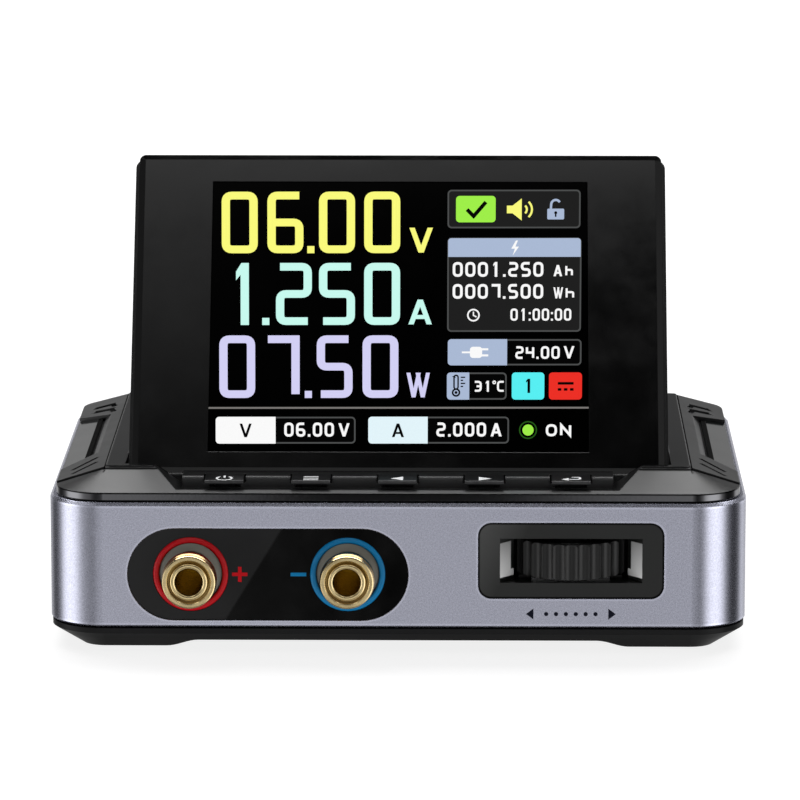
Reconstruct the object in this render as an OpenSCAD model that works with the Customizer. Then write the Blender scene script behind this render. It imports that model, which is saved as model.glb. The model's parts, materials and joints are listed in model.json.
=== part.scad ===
// Pocket laboratory DC supply with a display that folds out of its lid.
// X points to the right, Y to the back and Z up. The origin is the middle of the footprint on the table.

/* [Body] */
// Width of the aluminium band
body_w = 107.1; // [105.1:0.1:112.1]
// Depth of the aluminium band
body_d = 78.2; // [77.4:0.1:82]
// Outside corner radius of the band
corner_r = 8.55; // [8.5:0.05:9.5]
// Height of the band's lower edge above the table
frame_z = 4.1; // [4:0.1:4.4]
// Height of the aluminium band
frame_h = 19.5; // [19.3:0.1:21]
// Wall of the aluminium band
frame_wall = 1.8; // [1.6:0.1:1.9]
// Chamfer along the band's outer edges
edge_chamfer = 0.45; // [0.3:0.05:0.6]
// Seam between the band and each cover
seam = 0.1; // [0.05:0.05:0.2]

/* [Top cover] */
// Height of the upright rim above the seam
rim_h = 1.3; // [1.1:0.1:1.6]
// Ledge of the band that shows outside the lid's rim
rim_step = 0.95; // [0.7:0.05:1.1]
// Width of the bevel that runs round the lid
bevel_w = 7.5; // [6.8:0.1:7.5]
// Rise of the bevel
bevel_h = 2.35; // [2.2:0.05:2.6]
// Step from the front bevel up to the side bevels
side_step = 0.2; // [0.1:0.05:0.3]
// Step from the front bevel up to the flat top
top_step = 0.45; // [0.35:0.05:0.5]
// Wall of the covers' locating lips, the tray and its floor
cover_wall = 1.2; // [1:0.1:1.3]
// Length of the top cover's locating lip inside the band
lip_h = 1.8; // [1.2:0.1:2]

/* [Display flap] */
// Width of the flap
flap_w = 83.5; // [80:0.1:84]
// Length of the flap from its hinge axis
flap_l = 53.6; // [50:0.1:54]
// Thickness of the flap, which is also the diameter of its hinge barrel
flap_t = 8.5; // [8.4:0.1:8.8]
// Angle of the opened flap above the folded one
flap_open = 58.3; // [50:0.1:65]
// Gap between the flap and the tray that it folds into
flap_gap = 0.3; // [0.25:0.05:0.35]
// How far the folded flap stands above the lid
flap_proud = 0.5; // [0.3:0.1:0.8]
// Thickness of the flap's front bezel
bezel_t = 2.2; // [2:0.1:2.4]
// Step from the rear shell in to the front bezel
bezel_step = 0.65; // [0.5:0.05:1]
// Margin beside the picture area
picture_side = 12.3; // [12:0.1:14]
// Margin from the hinge axis to the picture area
picture_foot = 3.5; // [3.5:0.1:5]
// Margin above the picture area
picture_head = 4.7; // [4:0.1:6]
// Radius of the hinge pins
hinge_pin_r = 1.5; // [1.2:0.1:1.7]

/* [Keys] */
// Number of keys
key_count = 5; // [5:1:5]
// Distance from one key to the next
key_pitch = 13.27; // [12.6:0.05:13.4]
// Width of a key
key_w = 5.95; // [5:0.05:6.5]
// Thickness of a key's tab
key_t = 0.6; // [0.5:0.05:0.7]
// Travel of a key
key_travel = 0.4; // [0.3:0.05:0.45]
// Depth of the key recess below the lid's ridge
recess_depth = 3; // [2.9:0.05:3.05]

/* [Output sockets] */
// Distance between the two output sockets
socket_pitch = 24.03; // [22:0.1:25]
// Height of the socket axes above the table
socket_z = 12.5; // [12.5:0.05:12.7]
// Length of a socket in front of the band
socket_out = 5.8; // [4:0.1:7]
// Radius of a socket's collar
collar_r = 4.1; // [3.8:0.05:4.3]
// Radius of the plug bore
plug_r = 2.05; // [1.95:0.05:2.1]
// Depth of the plug bore
plug_depth = 16.5; // [14:0.5:17]
// Width of the black socket panel
panel_w = 43.06; // [41:0.1:44]
// Height of the black socket panel
panel_h = 14.4; // [14:0.1:14.6]

/* [Thumb wheel] */
// Distance of the wheel's axis from the body's middle
wheel_x = 26.55; // [25:0.1:28]
// Height of the wheel's middle
wheel_z = 14.75; // [14.5:0.05:14.8]
// Radius of the wheel
wheel_r = 9; // [8.6:0.1:9]
// Thickness of the wheel
wheel_t = 5.5; // [5:0.1:5.6]
// How far the wheel stands out of the band
wheel_out = 1.6; // [1.2:0.1:2]
// Number of grip flutes round the wheel
flute_count = 30; // [24:1:36]
// Travel when the wheel is pressed
wheel_travel = 0.6; // [0.4:0.05:0.65]
// Width of the wheel's bezel
surround_w = 28.47; // [27.5:0.1:29.5]
// Height of the wheel's bezel
surround_h = 11.87; // [11.5:0.05:12.2]
// Width of the bezel's window
window_w = 22.2; // [21.6:0.1:23]
// Height of the bezel's window
window_h = 6.87; // [6.6:0.05:7.2]

/* [Rear ports] */
// Middle of the rear port panel
ports_x = -2; // [-4:0.5:0]
// Width of the rear port panel
ports_w = 52; // [50:0.5:56]
// Height of the rear port panel
ports_h = 12; // [11.8:0.1:12.2]
// Distance of the power jack from the body's middle
jack_x = 14; // [12:0.5:16]
// Distance of the power delivery receptacle from the body's middle
usb_c_x = -4; // [-5:0.5:-2]
// Distance of the data receptacle from the body's middle
data_port_x = -19; // [-20:0.5:-17]

/* [Base] */
// Height of the underside between the feet
belly_z = 1.65; // [1.5:0.05:1.75]
// Thickness of the base plate between the feet
base_t = 1; // [0.9:0.05:1.1]
// Step of the base inside the band's outline
base_step = 0.2; // [0.1:0.05:0.3]
// How far the base draws in from the band down to the table
base_draft = 4.7; // [4:0.1:5.2]
// Radius of a rubber foot
foot_r = 2.8; // [2.4:0.1:2.9]
// How far a rubber foot stands out of the base
foot_proud = 0.2; // [0.15:0.05:0.3]
// Distance from one vent slot to the next
vent_pitch = 4.8; // [4.4:0.1:5]

/* [Circuit boards] */
// Thickness of the main board
board_t = 1.6; // [1.2:0.1:1.6]
// Height of the posts that carry the main board
post_h = 2.35; // [2.3:0.05:2.5]
// Radius of the four case screws
screw_r = 1.1; // [1:0.05:1.2]

/* [Hidden] */
$fn = 64;
cut = 1;            // how far a cutting solid runs past what it cuts
slack = 0.05;       // running clearance round pins and plungers
fit = 0.08;         // clearance round an inset panel
nip = 0.02;         // clearance round a pin that is held fast
half_w = body_w / 2;
half_d = body_d / 2;
front_y = -half_d;
wall_y = front_y + frame_wall;
frame_top = frame_z + frame_h;
rim_z = frame_top + seam;
bevel_z = rim_z + rim_h;
side_z = bevel_z + bevel_h + side_step;      // height of the side bevels along the ridge
ridge_z = bevel_z + bevel_h + top_step;
bevel_slope = bevel_h / bevel_w;
bevel_angle = atan(bevel_slope);
roof_t = 1.7;       // thickness of the lid, measured upright
rim_w = body_w - 2 * rim_step;
rim_d = body_d - 2 * rim_step;
rim_r = corner_r - rim_step;
ridge_x = rim_w / 2 - bevel_w;
ridge_y = rim_d / 2 - bevel_w;
base_w = body_w - 2 * base_step;
base_d = body_d - 2 * base_step;
base_r = corner_r - base_step;
inner_w = body_w - 2 * frame_wall;
inner_d = body_d - 2 * frame_wall;
inner_r = corner_r - frame_wall;
lip_gap = 0.1;
flange = 0.7;       // width of the hidden flange behind each inset panel
flange_t = 1.2;

barrel_r = flap_t / 2;
trough_r = barrel_r + flap_gap;
tray_r = trough_r + cover_wall;
tray_x = flap_w / 2 + flap_gap;
bar_y = front_y + 5.6;       // front face of the bar that the keys pass through
hinge_y = bar_y + 8.2;
hinge_z = ridge_z + flap_proud - barrel_r;
tray_end = hinge_y + flap_l + flap_gap;
tray_floor = hinge_z - trough_r;
scoop_r = 14;        // round of the shallow scoop behind the flap
scoop_depth = 0.9;

recess_z = ridge_z - recess_depth;
recess_y = front_y + rim_step + 1.1;         // front edge of the key recess
strip_x = 2.5 * key_pitch - 0.1;             // half length of the key bar and of the recess floor
recess_lean = 1.55;          // run of the recess's end walls for each unit of rise
bar_top = recess_z + 1.85;
bar_chamfer = 0.4;
floor_t = 1.1;               // thickness of the recess floor
key_top = bar_top + 0.05;
key_front = bar_y - 3.2;
key_back = bar_y + 2;
stem_y = bar_y + 1.1;
stem_w = 3;
stem_d = 1.6;
stem_gap = 0.15;
stem_bottom = recess_z - floor_t - 0.9;
switch_top = stem_bottom - 0.5;
switch_h = 1;
switch_w = 4.5;
switch_d = 2.4;
plunger_r = 0.85;
key_board_t = 0.8;
key_board_z = switch_top - switch_h - key_board_t;
key_post_x = 1.5 * key_pitch;

board_z = belly_z + base_t + post_h;
board_top = board_z + board_t;
board_x = half_w - 3.7;
board_front = front_y + 4.4;
board_back = half_d - 4.6;
screw_x = half_w - 10;
screw_y = half_d - 10.5;
boss_r = 2.4;

panel_x = -19.8;
sockets = [panel_x + 0.2 - socket_pitch / 2, panel_x + 0.2 + socket_pitch / 2];
panel_inset = 0.2;           // how far the inset panels lie behind the band's face
panel_y = front_y + panel_inset;
ring_r = 5.75;
ring_w = 0.95;
bush_r = ring_r - ring_w - fit;
neck_r = 3.4;
thread_r = 3;
nut_flats = 8;
nut_t = 2.4;
lug_t = 0.6;

wheel_y = front_y - wheel_out + wheel_r;
surround_y = front_y + 0.1;
surround_back = front_y + 3.4;
hub_r = 3.2;
wheel_pin_r = 1.5;
slide_t = 1;
slide_w = 12;
slide_z = wheel_z - wheel_t / 2 - 0.2 - slide_t;
slide_front = front_y + 3.7;
slide_back = wheel_y + wheel_r;
press_y = slide_back + 1.4;

ports_z = 11.2;
usb_w = 8.94;
usb_h = 3.26;
data_w = 7.5;
data_h = 2.7;
shell_t = 0.3;
jack_size = 9.4;
jack_nose_r = 4.3;
jack_bore_r = 3.15;
jack_pin_r = 1.05;
jack_z = board_top + jack_size / 2;

foot_z = foot_proud;
foot_x = screw_x - 5.1;
foot_y = screw_y - 2.1;

// From the frame round the housing's middle to the row's frame, whose origin is the footprint's middle
row_y = socket_out / 2;
module in_row() {
  translate([0, row_y, 0]) children();
}

// Flat outlines

module rounded_rect(w, h, r) {
  square([w - 2 * r, h], center = true);
  square([w, h - 2 * r], center = true);
  for (x = [-1, 1], y = [-1, 1])
    translate([x * (w / 2 - r), y * (h / 2 - r)]) circle(r);
}

module stadium(w, h) {
  square([w - h, h], center = true);
  for (x = [-1, 1]) translate([x * (w - h) / 2, 0]) circle(h / 2);
}

// Solids that the pieces share

module slab(w, d, r, h) {
  linear_extrude(h) rounded_rect(w, d, r);
}

// A slab with round corners whose four sides lean in by inset over its height
module tapered_slab(w, d, r, inset, h) {
  translate([-(w / 2 - r), 0, 0]) rotate([90, 0, 90]) linear_extrude(w - 2 * r)
    polygon([[-d / 2, 0], [d / 2, 0], [d / 2 - inset, h], [-d / 2 + inset, h]]);
  translate([0, d / 2 - r, 0]) rotate([90, 0, 0]) linear_extrude(d - 2 * r)
    polygon([[-w / 2, 0], [w / 2, 0], [w / 2 - inset, h], [-w / 2 + inset, h]]);
  for (x = [-1, 1], y = [-1, 1])
    translate([x * (w / 2 - r), y * (d / 2 - r), 0]) cylinder(r1 = r, r2 = r - inset, h = h);
}

module block(x0, x1, y0, y1, z0, z1) {
  translate([x0, y0, z0]) cube([x1 - x0, y1 - y0, z1 - z0]);
}

// An upright plate: the children's outline in X and Z, from y0 to y1
module upright(x, z, y0, y1) {
  translate([x, y1, z]) rotate([90, 0, 0]) linear_extrude(y1 - y0) children();
}

// A rod along X
module rod_x(r, x0, x1) {
  translate([x0, 0, 0]) rotate([0, 90, 0]) cylinder(r = r, h = x1 - x0);
}

module at_corners(x, y, z) {
  for (a = [-1, 1], b = [-1, 1]) translate([a * x, b * y, z]) children();
}

module at_keys() {
  for (i = [0 : key_count - 1]) translate([key_x(i), 0, 0]) children();
}

function key_x(i) = (i - (key_count - 1) / 2) * key_pitch;

// From the flap's own frame, folded flat with its hinge axis at the origin, to the opened pose
module on_flap() {
  translate([0, hinge_y, hinge_z]) rotate([flap_open, 0, 0]) children();
}

// Housing

module band_openings() {
  upright(panel_x, socket_z, front_y - cut, wall_y + cut) stadium(panel_w, panel_h);
  upright(wheel_x, wheel_z, front_y - cut, wall_y + cut) rounded_rect(surround_w, surround_h, 2.1);
  upright(ports_x, ports_z, -wall_y - cut, half_d + cut) rounded_rect(ports_w, ports_h, 2.1);
}

module frame_band() {
  c = edge_chamfer;
  color([0.50, 0.51, 0.58]) in_row() difference() {
    union() {
      translate([0, 0, frame_z + c]) slab(body_w, body_d, corner_r, frame_h - 2 * c);
      translate([0, 0, frame_top - c]) tapered_slab(body_w, body_d, corner_r, c, c);
      translate([0, 0, frame_z + c]) mirror([0, 0, 1]) tapered_slab(body_w, body_d, corner_r, c, c);
    }
    translate([0, 0, frame_z - cut]) slab(inner_w, inner_d, inner_r, frame_h + 2 * cut);
    band_openings();
  }
}

// The hollow under the lid
module lid_hollow() {
  w = inner_w - 2 * lip_gap - 2 * cover_wall;
  d = inner_d - 2 * lip_gap - 2 * cover_wall;
  r = inner_r - lip_gap - cover_wall;
  inset = r - 0.1;
  z = bevel_z - roof_t + bevel_slope * (rim_w - w) / 2;
  translate([0, 0, rim_z - lip_h - cut]) slab(w, d, r, z - rim_z + lip_h + cut);
  translate([0, 0, z]) tapered_slab(w, d, r, inset, inset * bevel_slope);
}

// The lid's outside: rim, bevel, raised side bevels and raised flat top
module lid_solid() {
  translate([0, 0, rim_z]) slab(rim_w, rim_d, rim_r, rim_h);
  translate([0, 0, bevel_z]) tapered_slab(rim_w, rim_d, rim_r, bevel_w, bevel_h);
  intersection() {
    union() {
      translate([0, 0, bevel_z - 0.1]) slab(rim_w, rim_d, rim_r, side_step + 0.1);
      translate([0, 0, bevel_z + side_step]) tapered_slab(rim_w, rim_d, rim_r, bevel_w, bevel_h);
    }
    block(-half_w, half_w, -ridge_y - 0.2, half_d, bevel_z - 1, ridge_z);
  }
  translate([0, 0, bevel_z + 1]) slab(2 * ridge_x - 0.2, 2 * ridge_y - 0.1, 0.9, ridge_z - bevel_z - 1);
}

// The tray that the flap folds into, with a round trough under its hinge barrel
module tray_body() {
  x = tray_x + cover_wall;
  block(-x, x, hinge_y, tray_end + cover_wall, tray_floor - cover_wall, ridge_z - roof_t);
  intersection() {
    translate([0, hinge_y, hinge_z]) rod_x(tray_r, -x, x);
    block(-x, x, bar_y, tray_end, 0, hinge_z + 1.5);
  }
}

module tray_hollow() {
  block(-tray_x, tray_x, hinge_y, tray_end, tray_floor, ridge_z + cut);
  block(-tray_x, tray_x, hinge_y - barrel_r + 0.25, hinge_y, hinge_z + 1, ridge_z + cut);
  translate([0, hinge_y, hinge_z]) rod_x(trough_r, -tray_x, tray_x);
  translate([ribbon_x - ribbon_w / 2 - 0.5, hinge_y - 0.8, tray_floor - cover_wall - cut])
    cube([ribbon_w + 1, 1.6, cover_wall + 2 * cut]);
  // scoop for the finger that lifts the flap
  translate([0, tray_end - 1, ridge_z + scoop_r - scoop_depth]) rotate([-90, 0, 0])
    cylinder(r = scoop_r, h = half_d);
}

// The stock that the key recess is cut from
module recess_body() {
  x = strip_x + recess_lean * recess_depth + 1.2;
  intersection() {
    lid_solid();
    block(-x, x, front_y, hinge_y - 2, recess_z - floor_t, ridge_z);
  }
}

// The recess in front of the flap, with leaning end walls, and the bar that the keys come out of
module key_recess() {
  rise = recess_depth + cut;
  difference() {
    upright(0, recess_z, recess_y, hinge_y)
      polygon([[-strip_x, 0], [strip_x, 0], [strip_x + recess_lean * rise, rise],
        [-strip_x - recess_lean * rise, rise]]);
    translate([-strip_x, 0, 0]) rotate([90, 0, 90]) linear_extrude(2 * strip_x)
      polygon([[bar_y, recess_z - cut], [bar_y, bar_top - bar_chamfer], [bar_y + bar_chamfer, bar_top],
        [hinge_y + cut, bar_top], [hinge_y + cut, recess_z - cut]]);
  }
}

// The way of each key: a pocket in the bar for its tab and a shaft for its stem
module key_ways() {
  tab = key_w / 2 + 0.25;
  stem = stem_w / 2 + stem_gap;
  at_keys() {
    block(-tab, tab, bar_y - cut, key_back + 0.15, bar_top - 1.05, ridge_z);
    block(-tab + 0.8, tab - 0.8, bar_y - 0.01, stem_y, recess_z + 0.2, bar_top - 1);
    block(-stem, stem, stem_y - stem_d / 2 - stem_gap, stem_y + stem_d / 2 + stem_gap,
      recess_z - floor_t - cut, ridge_z);
  }
}

// One side's notch and grip slots: X runs down the side bevel from the ridge, Z out of its face
module on_side_bevel(side) {
  mirror([side < 0 ? 1 : 0, 0, 0]) translate([ridge_x, 0, side_z]) rotate([0, bevel_angle, 0]) children();
}

notch_top = 2.1;     // from the ridge down to the notch's upper edge, along the bevel
notch_foot = 3.65;   // and to the foot of its leaning inner wall
notch_front = -16;
notch_back = 15.5;
notch_splay = 0.9;   // how much longer the notch grows at each end for each unit outwards
notch_depth = 0.9;
inlay_t = 0.4;
slot_w = 1.7;        // width of the slots behind the notch
rib_gap = 0.9;       // width of the grooves in front of it
slot_depth = 0.45;

module notch_outline(x, inward) {
  far = bevel_w + 3;
  grow = (far - notch_top) * notch_splay;
  start = (x - notch_top) * notch_splay;
  polygon([[x, notch_front - start + inward], [far, notch_front - grow + inward],
    [far, notch_back + grow - inward], [x, notch_back + start - inward]]);
}

// A straight groove between two points of the side bevel
module groove(a, b, w, depth) {
  d = b - a;
  translate([a[0], a[1], -depth]) rotate(atan2(d[1], d[0])) translate([0, -w / 2, 0])
    cube([norm(d), w, depth + 0.6]);
}

module side_cuts() {
  for (side = [-1, 1]) on_side_bevel(side) {
    intersection() {
      translate([0, 0, -notch_depth]) linear_extrude(notch_depth + cut) notch_outline(notch_top, 0);
      rotate([90, 0, 0]) translate([0, 0, -half_d]) linear_extrude(body_d)
        polygon([[notch_top, cut], [notch_top, 0], [notch_foot, -notch_depth], [2 * bevel_w, -notch_depth],
          [2 * bevel_w, cut]]);
    }
    groove([1.8, 22.1], [2.4, 24.7], rib_gap, slot_depth);
    groove([2.1, 24.7], [5.6, 25.7], slot_w, slot_depth);
    groove([1.7, 17.4], [2.3, 20.2], rib_gap, slot_depth);
    groove([2, 20.2], [5.6, 22.3], slot_w, slot_depth);
    groove([1.9, -20.3], [5.8, -24.9], rib_gap, slot_depth);
    groove([1.8, -24.2], [5.6, -28.2], rib_gap, slot_depth);
    // the line between the side bevel and the front one
    groove([0, -ridge_y + 0.1], [bevel_w + 1, -ridge_y + 0.1], 0.8, slot_depth);
  }
}

module top_cover() {
  w = inner_w - 2 * lip_gap;
  d = inner_d - 2 * lip_gap;
  color([0.06, 0.06, 0.065]) in_row() difference() {
    union() {
      difference() {
        union() {
          lid_solid();
          translate([0, 0, rim_z - lip_h]) slab(w, d, inner_r - lip_gap, lip_h);
        }
        lid_hollow();
      }
      tray_body();
      recess_body();
      at_corners(screw_x, screw_y, board_top) cylinder(r = boss_r, h = ridge_z - roof_t - board_top);
      for (s = [-1, 1]) translate([s * key_post_x, stem_y, key_board_z + key_board_t])
        cylinder(r = 1.1, h = recess_z - floor_t - key_board_z - key_board_t + 0.1);
      for (s = [-1, 1]) translate([0, hinge_y, hinge_z]) mirror([s < 0 ? 1 : 0, 0, 0])
        rod_x(3, tray_x + 0.5, tray_x + 3.6);
    }
    tray_hollow();
    key_recess();
    key_ways();
    side_cuts();
    at_corners(screw_x, screw_y, board_top - cut) cylinder(r = screw_r + slack, h = 9 + cut);
    for (s = [-1, 1]) translate([s * key_post_x, stem_y, key_board_z]) cylinder(r = 0.65, h = 3.2);
    translate([0, hinge_y, hinge_z]) rod_x(hinge_pin_r + nip, -tray_x - 3.4, tray_x + 3.4);
  }
}

module side_inlays() {
  color([0.03, 0.03, 0.035]) in_row() for (side = [-1, 1]) on_side_bevel(side)
    intersection() {
      translate([0, 0, -notch_depth]) linear_extrude(inlay_t) notch_outline(notch_foot + 0.1, 0.1);
      rotate([0, -bevel_angle, 0]) translate([-ridge_x, 0, -side_z]) translate([0, 0, rim_z])
        slab(rim_w - 0.1, rim_d, rim_r, 2 * bevel_h);
    }
}

// The underside's height along X or Y: feet at both ends, a smooth rise, and the belly between
function rise(t) = (1 - cos(180 * t)) / 2;
module belly_profile(half, foot_in, foot_out) {
  steps = 8;
  right = [for (i = [0 : steps]) let (t = i / steps) [foot_out - (foot_out - foot_in) * t,
    foot_z + (belly_z - foot_z) * rise(t)]];
  left = [for (i = [steps : -1 : 0]) [-right[i][0], right[i][1]]];
  polygon(concat([[-half, frame_z + cut], [half, frame_z + cut], [half, foot_z]], right, left, [[-half,
    foot_z]]));
}

module bottom_cover() {
  top = frame_z - seam;
  rim = 0.8;
  count = 11;
  color([0.05, 0.05, 0.055]) in_row() difference() {
    union() {
      intersection() {
        union() {
          translate([0, 0, top - rim]) slab(base_w, base_d, base_r, rim);
          translate([0, 0, top - rim]) mirror([0, 0, 1])
            tapered_slab(base_w, base_d, base_r, base_draft, top - rim - foot_z);
        }
        union() {
          intersection() {
            translate([0, half_d, 0]) rotate([90, 0, 0]) linear_extrude(body_d)
              belly_profile(half_w, half_w - 23, half_w - 17.9);
            translate([-half_w, 0, 0]) rotate([90, 0, 90]) linear_extrude(body_w)
              belly_profile(half_d, half_d - 21, half_d - 16);
          }
          for (i = [0 : count - 1]) translate([(i - (count - 1) / 2) * vent_pitch, 0, 0])
            block(-1.05, 1.05, front_y + 4, half_d - 4, belly_z - 0.2, belly_z + 0.5);
        }
      }
      difference() {
        translate([0, 0, top - 0.4]) slab(inner_w - 2 * lip_gap, inner_d - 2 * lip_gap,
          inner_r - lip_gap, 1.6);
        translate([0, 0, top - cut]) slab(inner_w - 2 * lip_gap - 2 * cover_wall,
          inner_d - 2 * lip_gap - 2 * cover_wall,
          inner_r - lip_gap - cover_wall, 4);
        block(panel_x - panel_w / 2 - 1.5, panel_x + panel_w / 2 + 1.5, front_y, wall_y + 2, top, top + 3);
        block(ports_x - ports_w / 2 - 1.5, ports_x + ports_w / 2 + 1.5, -wall_y - 2, half_d, top, top + 3);
      }
      at_corners(screw_x, screw_y, belly_z + 0.5) cylinder(r = 2.8, h = board_z - belly_z - 0.5);
    }
    difference() {
      translate([0, 0, belly_z + base_t]) slab(inner_w - 4, inner_d - 4, inner_r - 2, 4);
      at_corners(screw_x, screw_y, 0) cylinder(r = 2.8, h = board_z);
    }
    at_corners(screw_x, screw_y, -cut) cylinder(r = screw_r + 0.2, h = board_z + 2 * cut);
    at_corners(screw_x, screw_y, -cut) cylinder(r = 2.1, h = 2 + cut);
    at_corners(foot_x, foot_y, -cut) cylinder(r = foot_r + slack, h = cut + foot_z + 0.5);
    for (i = [0 : count - 2], s = [-1, 1]) translate([(i + 1 - count / 2) * vent_pitch, s * 14, 0])
      linear_extrude(frame_z) rotate([0, 0, 90]) stadium(20, 1.6);
  }
}

module rubber_feet() {
  color([0.08, 0.08, 0.08]) in_row() at_corners(foot_x, foot_y, 0) cylinder(r = foot_r, h = foot_z + 0.45);
}

module case_screws() {
  color([0.35, 0.35, 0.37]) in_row() at_corners(screw_x, screw_y, 0) difference() {
    union() {
      translate([0, 0, 0.9]) cylinder(r = 1.9, h = 1.1);
      translate([0, 0, 0.9]) cylinder(r = screw_r, h = 13);
    }
    translate([0, 0, -cut]) cylinder(r = 0.8, h = cut + 1.6, $fn = 6);
  }
}

// Output sockets on the front

module socket_panel() {
  color([0.02, 0.02, 0.022]) in_row() difference() {
    union() {
      upright(panel_x, socket_z, panel_y, wall_y + 0.05) stadium(panel_w - 2 * fit, panel_h - 2 * fit);
      upright(panel_x, socket_z, wall_y + 0.05, wall_y + flange_t)
        stadium(panel_w + 2 * flange, panel_h + 2 * flange);
    }
    for (x = sockets) {
      upright(x, socket_z, front_y - cut, wall_y + 2 * cut) circle(bush_r + fit);
      upright(x, socket_z, front_y - cut, panel_y + 0.6) circle(ring_r + fit / 2);
    }
  }
}

// A ring that lies in its seat in the panel, with a crowned front
module colour_ring(x) {
  crown = 0.3;
  h = 0.7;
  translate([x, panel_y + 0.58, socket_z]) rotate([90, 0, 0]) rotate_extrude()
    translate([ring_r - ring_w, 0])
    polygon([[0, 0], [ring_w, 0], [ring_w, h - 0.22], [ring_w - crown, h], [crown, h], [0, h - 0.22]]);
}

module positive_ring() {
  color([0.75, 0.05, 0.07]) in_row() colour_ring(sockets[0]);
}

module negative_ring() {
  color([0.05, 0.35, 0.7]) in_row() colour_ring(sockets[1]);
}

module socket_bushes() {
  back = wall_y + flange_t;
  color([0.35, 0.35, 0.33]) in_row() for (x = sockets) difference() {
    union() {
      upright(x, socket_z, panel_y + 0.6, back + 0.1) circle(bush_r);
      upright(x, socket_z, back + 0.05, back + 1.1) circle(5.4);
    }
    upright(x, socket_z, front_y, back + 2) circle(neck_r + slack);
  }
}

// The turned brass socket: collar with a ring groove, round inner lip, neck and threaded tail.
// Heights run outwards from the back face of the bush.
module plug_socket(x) {
  back = wall_y + flange_t + 1.15;
  nose = back - front_y + socket_out;
  collar = nose - 3;
  tail = -7.3;
  lip = (2.95 - plug_r) / 2;
  translate([x, back, socket_z]) rotate([90, 0, 0]) rotate_extrude() difference() {
    union() {
      polygon([[0, tail], [thread_r, tail], [thread_r, 0], [neck_r, 0], [neck_r, collar],
        [collar_r - 0.2, collar], [collar_r + 0.1, collar + 0.3], [collar_r + 0.1, nose - 1.6],
        [collar_r - 0.15, nose - 1.1], [collar_r - 0.15, nose - 0.9], [collar_r, nose - 0.75],
        [collar_r, nose - 0.25], [collar_r - 0.08, nose - 0.08], [collar_r - 0.25, nose],
        [3.45, nose], [3.3, nose - 0.15], [3.3, nose - 1.2],
        [plug_r + 2 * lip, nose - 1.2], [plug_r + 2 * lip, nose - lip], [0, nose - lip]]);
      translate([plug_r + lip, nose - lip]) circle(lip);
    }
    translate([-cut, nose - plug_depth]) square([plug_r + cut, plug_depth + cut]);
  }
}

module positive_socket() {
  color([0.78, 0.62, 0.3]) in_row() plug_socket(sockets[0]);
}

module negative_socket() {
  color([0.78, 0.62, 0.3]) in_row() plug_socket(sockets[1]);
}

module socket_nuts() {
  back = wall_y + flange_t + 1.15;
  color([0.7, 0.7, 0.68]) in_row() for (x = sockets) translate([x, back + nut_t, socket_z])
    rotate([90, 0, 0]) difference() {
    rotate([0, 0, 30]) cylinder(r = nut_flats / 2 / cos(30), h = nut_t, $fn = 6);
    translate([0, 0, -cut]) cylinder(r = thread_r + nip, h = nut_t + 2 * cut);
  }
}

module socket_lugs() {
  y = wall_y + flange_t + 1.2 + nut_t;
  color([0.8, 0.78, 0.7]) in_row() for (x = sockets) difference() {
    union() {
      upright(x, socket_z, y, y + lug_t) circle(4.2);
      block(x - 1.8, x + 1.8, y, y + lug_t, board_top, socket_z);
      block(x - 1.8, x + 1.8, y, y + 3, board_top, board_top + lug_t);
    }
    upright(x, socket_z, y - cut, y + lug_t + cut) circle(thread_r + nip);
  }
}

// Thumb wheel and its roller encoder

module wheel_bezel() {
  y0 = surround_y;
  narrow = wheel_r - 0.25;
  color([0.09, 0.095, 0.09]) in_row() difference() {
    union() {
      upright(wheel_x, wheel_z, y0, surround_back)
        rounded_rect(surround_w - 2 * fit, surround_h - 2 * fit, 2.1 - fit);
      upright(wheel_x, wheel_z, wall_y + 0.05, wall_y + flange_t)
        rounded_rect(surround_w + 2 * flange, surround_h + 2 * flange, 2.1 + flange);
    }
    translate([wheel_x, 0, wheel_z - window_h / 2]) linear_extrude(window_h)
      polygon([[-window_w / 2 - 0.7, front_y - cut], [window_w / 2 + 0.7, front_y - cut], [narrow,
        surround_back - 0.6],
        [narrow, surround_back + cut], [-narrow, surround_back + cut], [-narrow, surround_back - 0.6]]);
  }
}

module thumb_wheel() {
  flute_r = 1.3;
  flute_depth = 0.42;
  half_t = wheel_t / 2;
  bevel = 0.3;
  color([0.1, 0.1, 0.1]) in_row() translate([wheel_x, wheel_y, wheel_z]) difference() {
    intersection() {
      translate([0, 0, -half_t]) linear_extrude(wheel_t) difference() {
        circle(wheel_r);
        for (i = [0 : flute_count - 1]) rotate(i * 360 / flute_count)
          translate([0, -wheel_r - flute_r + flute_depth]) circle(flute_r);
      }
      rotate_extrude() polygon([[0, -half_t], [wheel_r - bevel, -half_t],
        [wheel_r + 0.1, -half_t + bevel + 0.1],
        [wheel_r + 0.1, half_t - bevel - 0.1], [wheel_r - bevel, half_t], [0, half_t]]);
    }
    for (s = [-1, 1]) rotate_extrude() translate([hub_r, s > 0 ? half_t - 1.4 : -half_t - 0.1])
      square([wheel_r - hub_r - 1.8, 1.5]);
    cylinder(r = wheel_pin_r + slack, h = wheel_t + 2 * cut, center = true);
  }
}

module wheel_pin() {
  top = wheel_z + wheel_t / 2 + 0.1;
  color([0.7, 0.7, 0.72]) in_row() translate([wheel_x, wheel_y, 0]) {
    translate([0, 0, slide_z + 0.1]) cylinder(r = wheel_pin_r, h = top - slide_z - 0.1);
    translate([0, 0, top]) cylinder(r = 2.6, h = 0.6);
  }
}

module wheel_slider() {
  color([0.5, 0.5, 0.52]) in_row() difference() {
    union() {
      block(wheel_x - slide_w / 2, wheel_x + slide_w / 2, slide_front, slide_back, slide_z,
        slide_z + slide_t);
      translate([wheel_x, wheel_y, slide_z]) cylinder(r = 2.6, h = slide_t + 0.15);
    }
    translate([wheel_x, wheel_y, slide_z - cut]) cylinder(r = wheel_pin_r + nip, h = slide_t + 2 * cut);
  }
}

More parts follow.
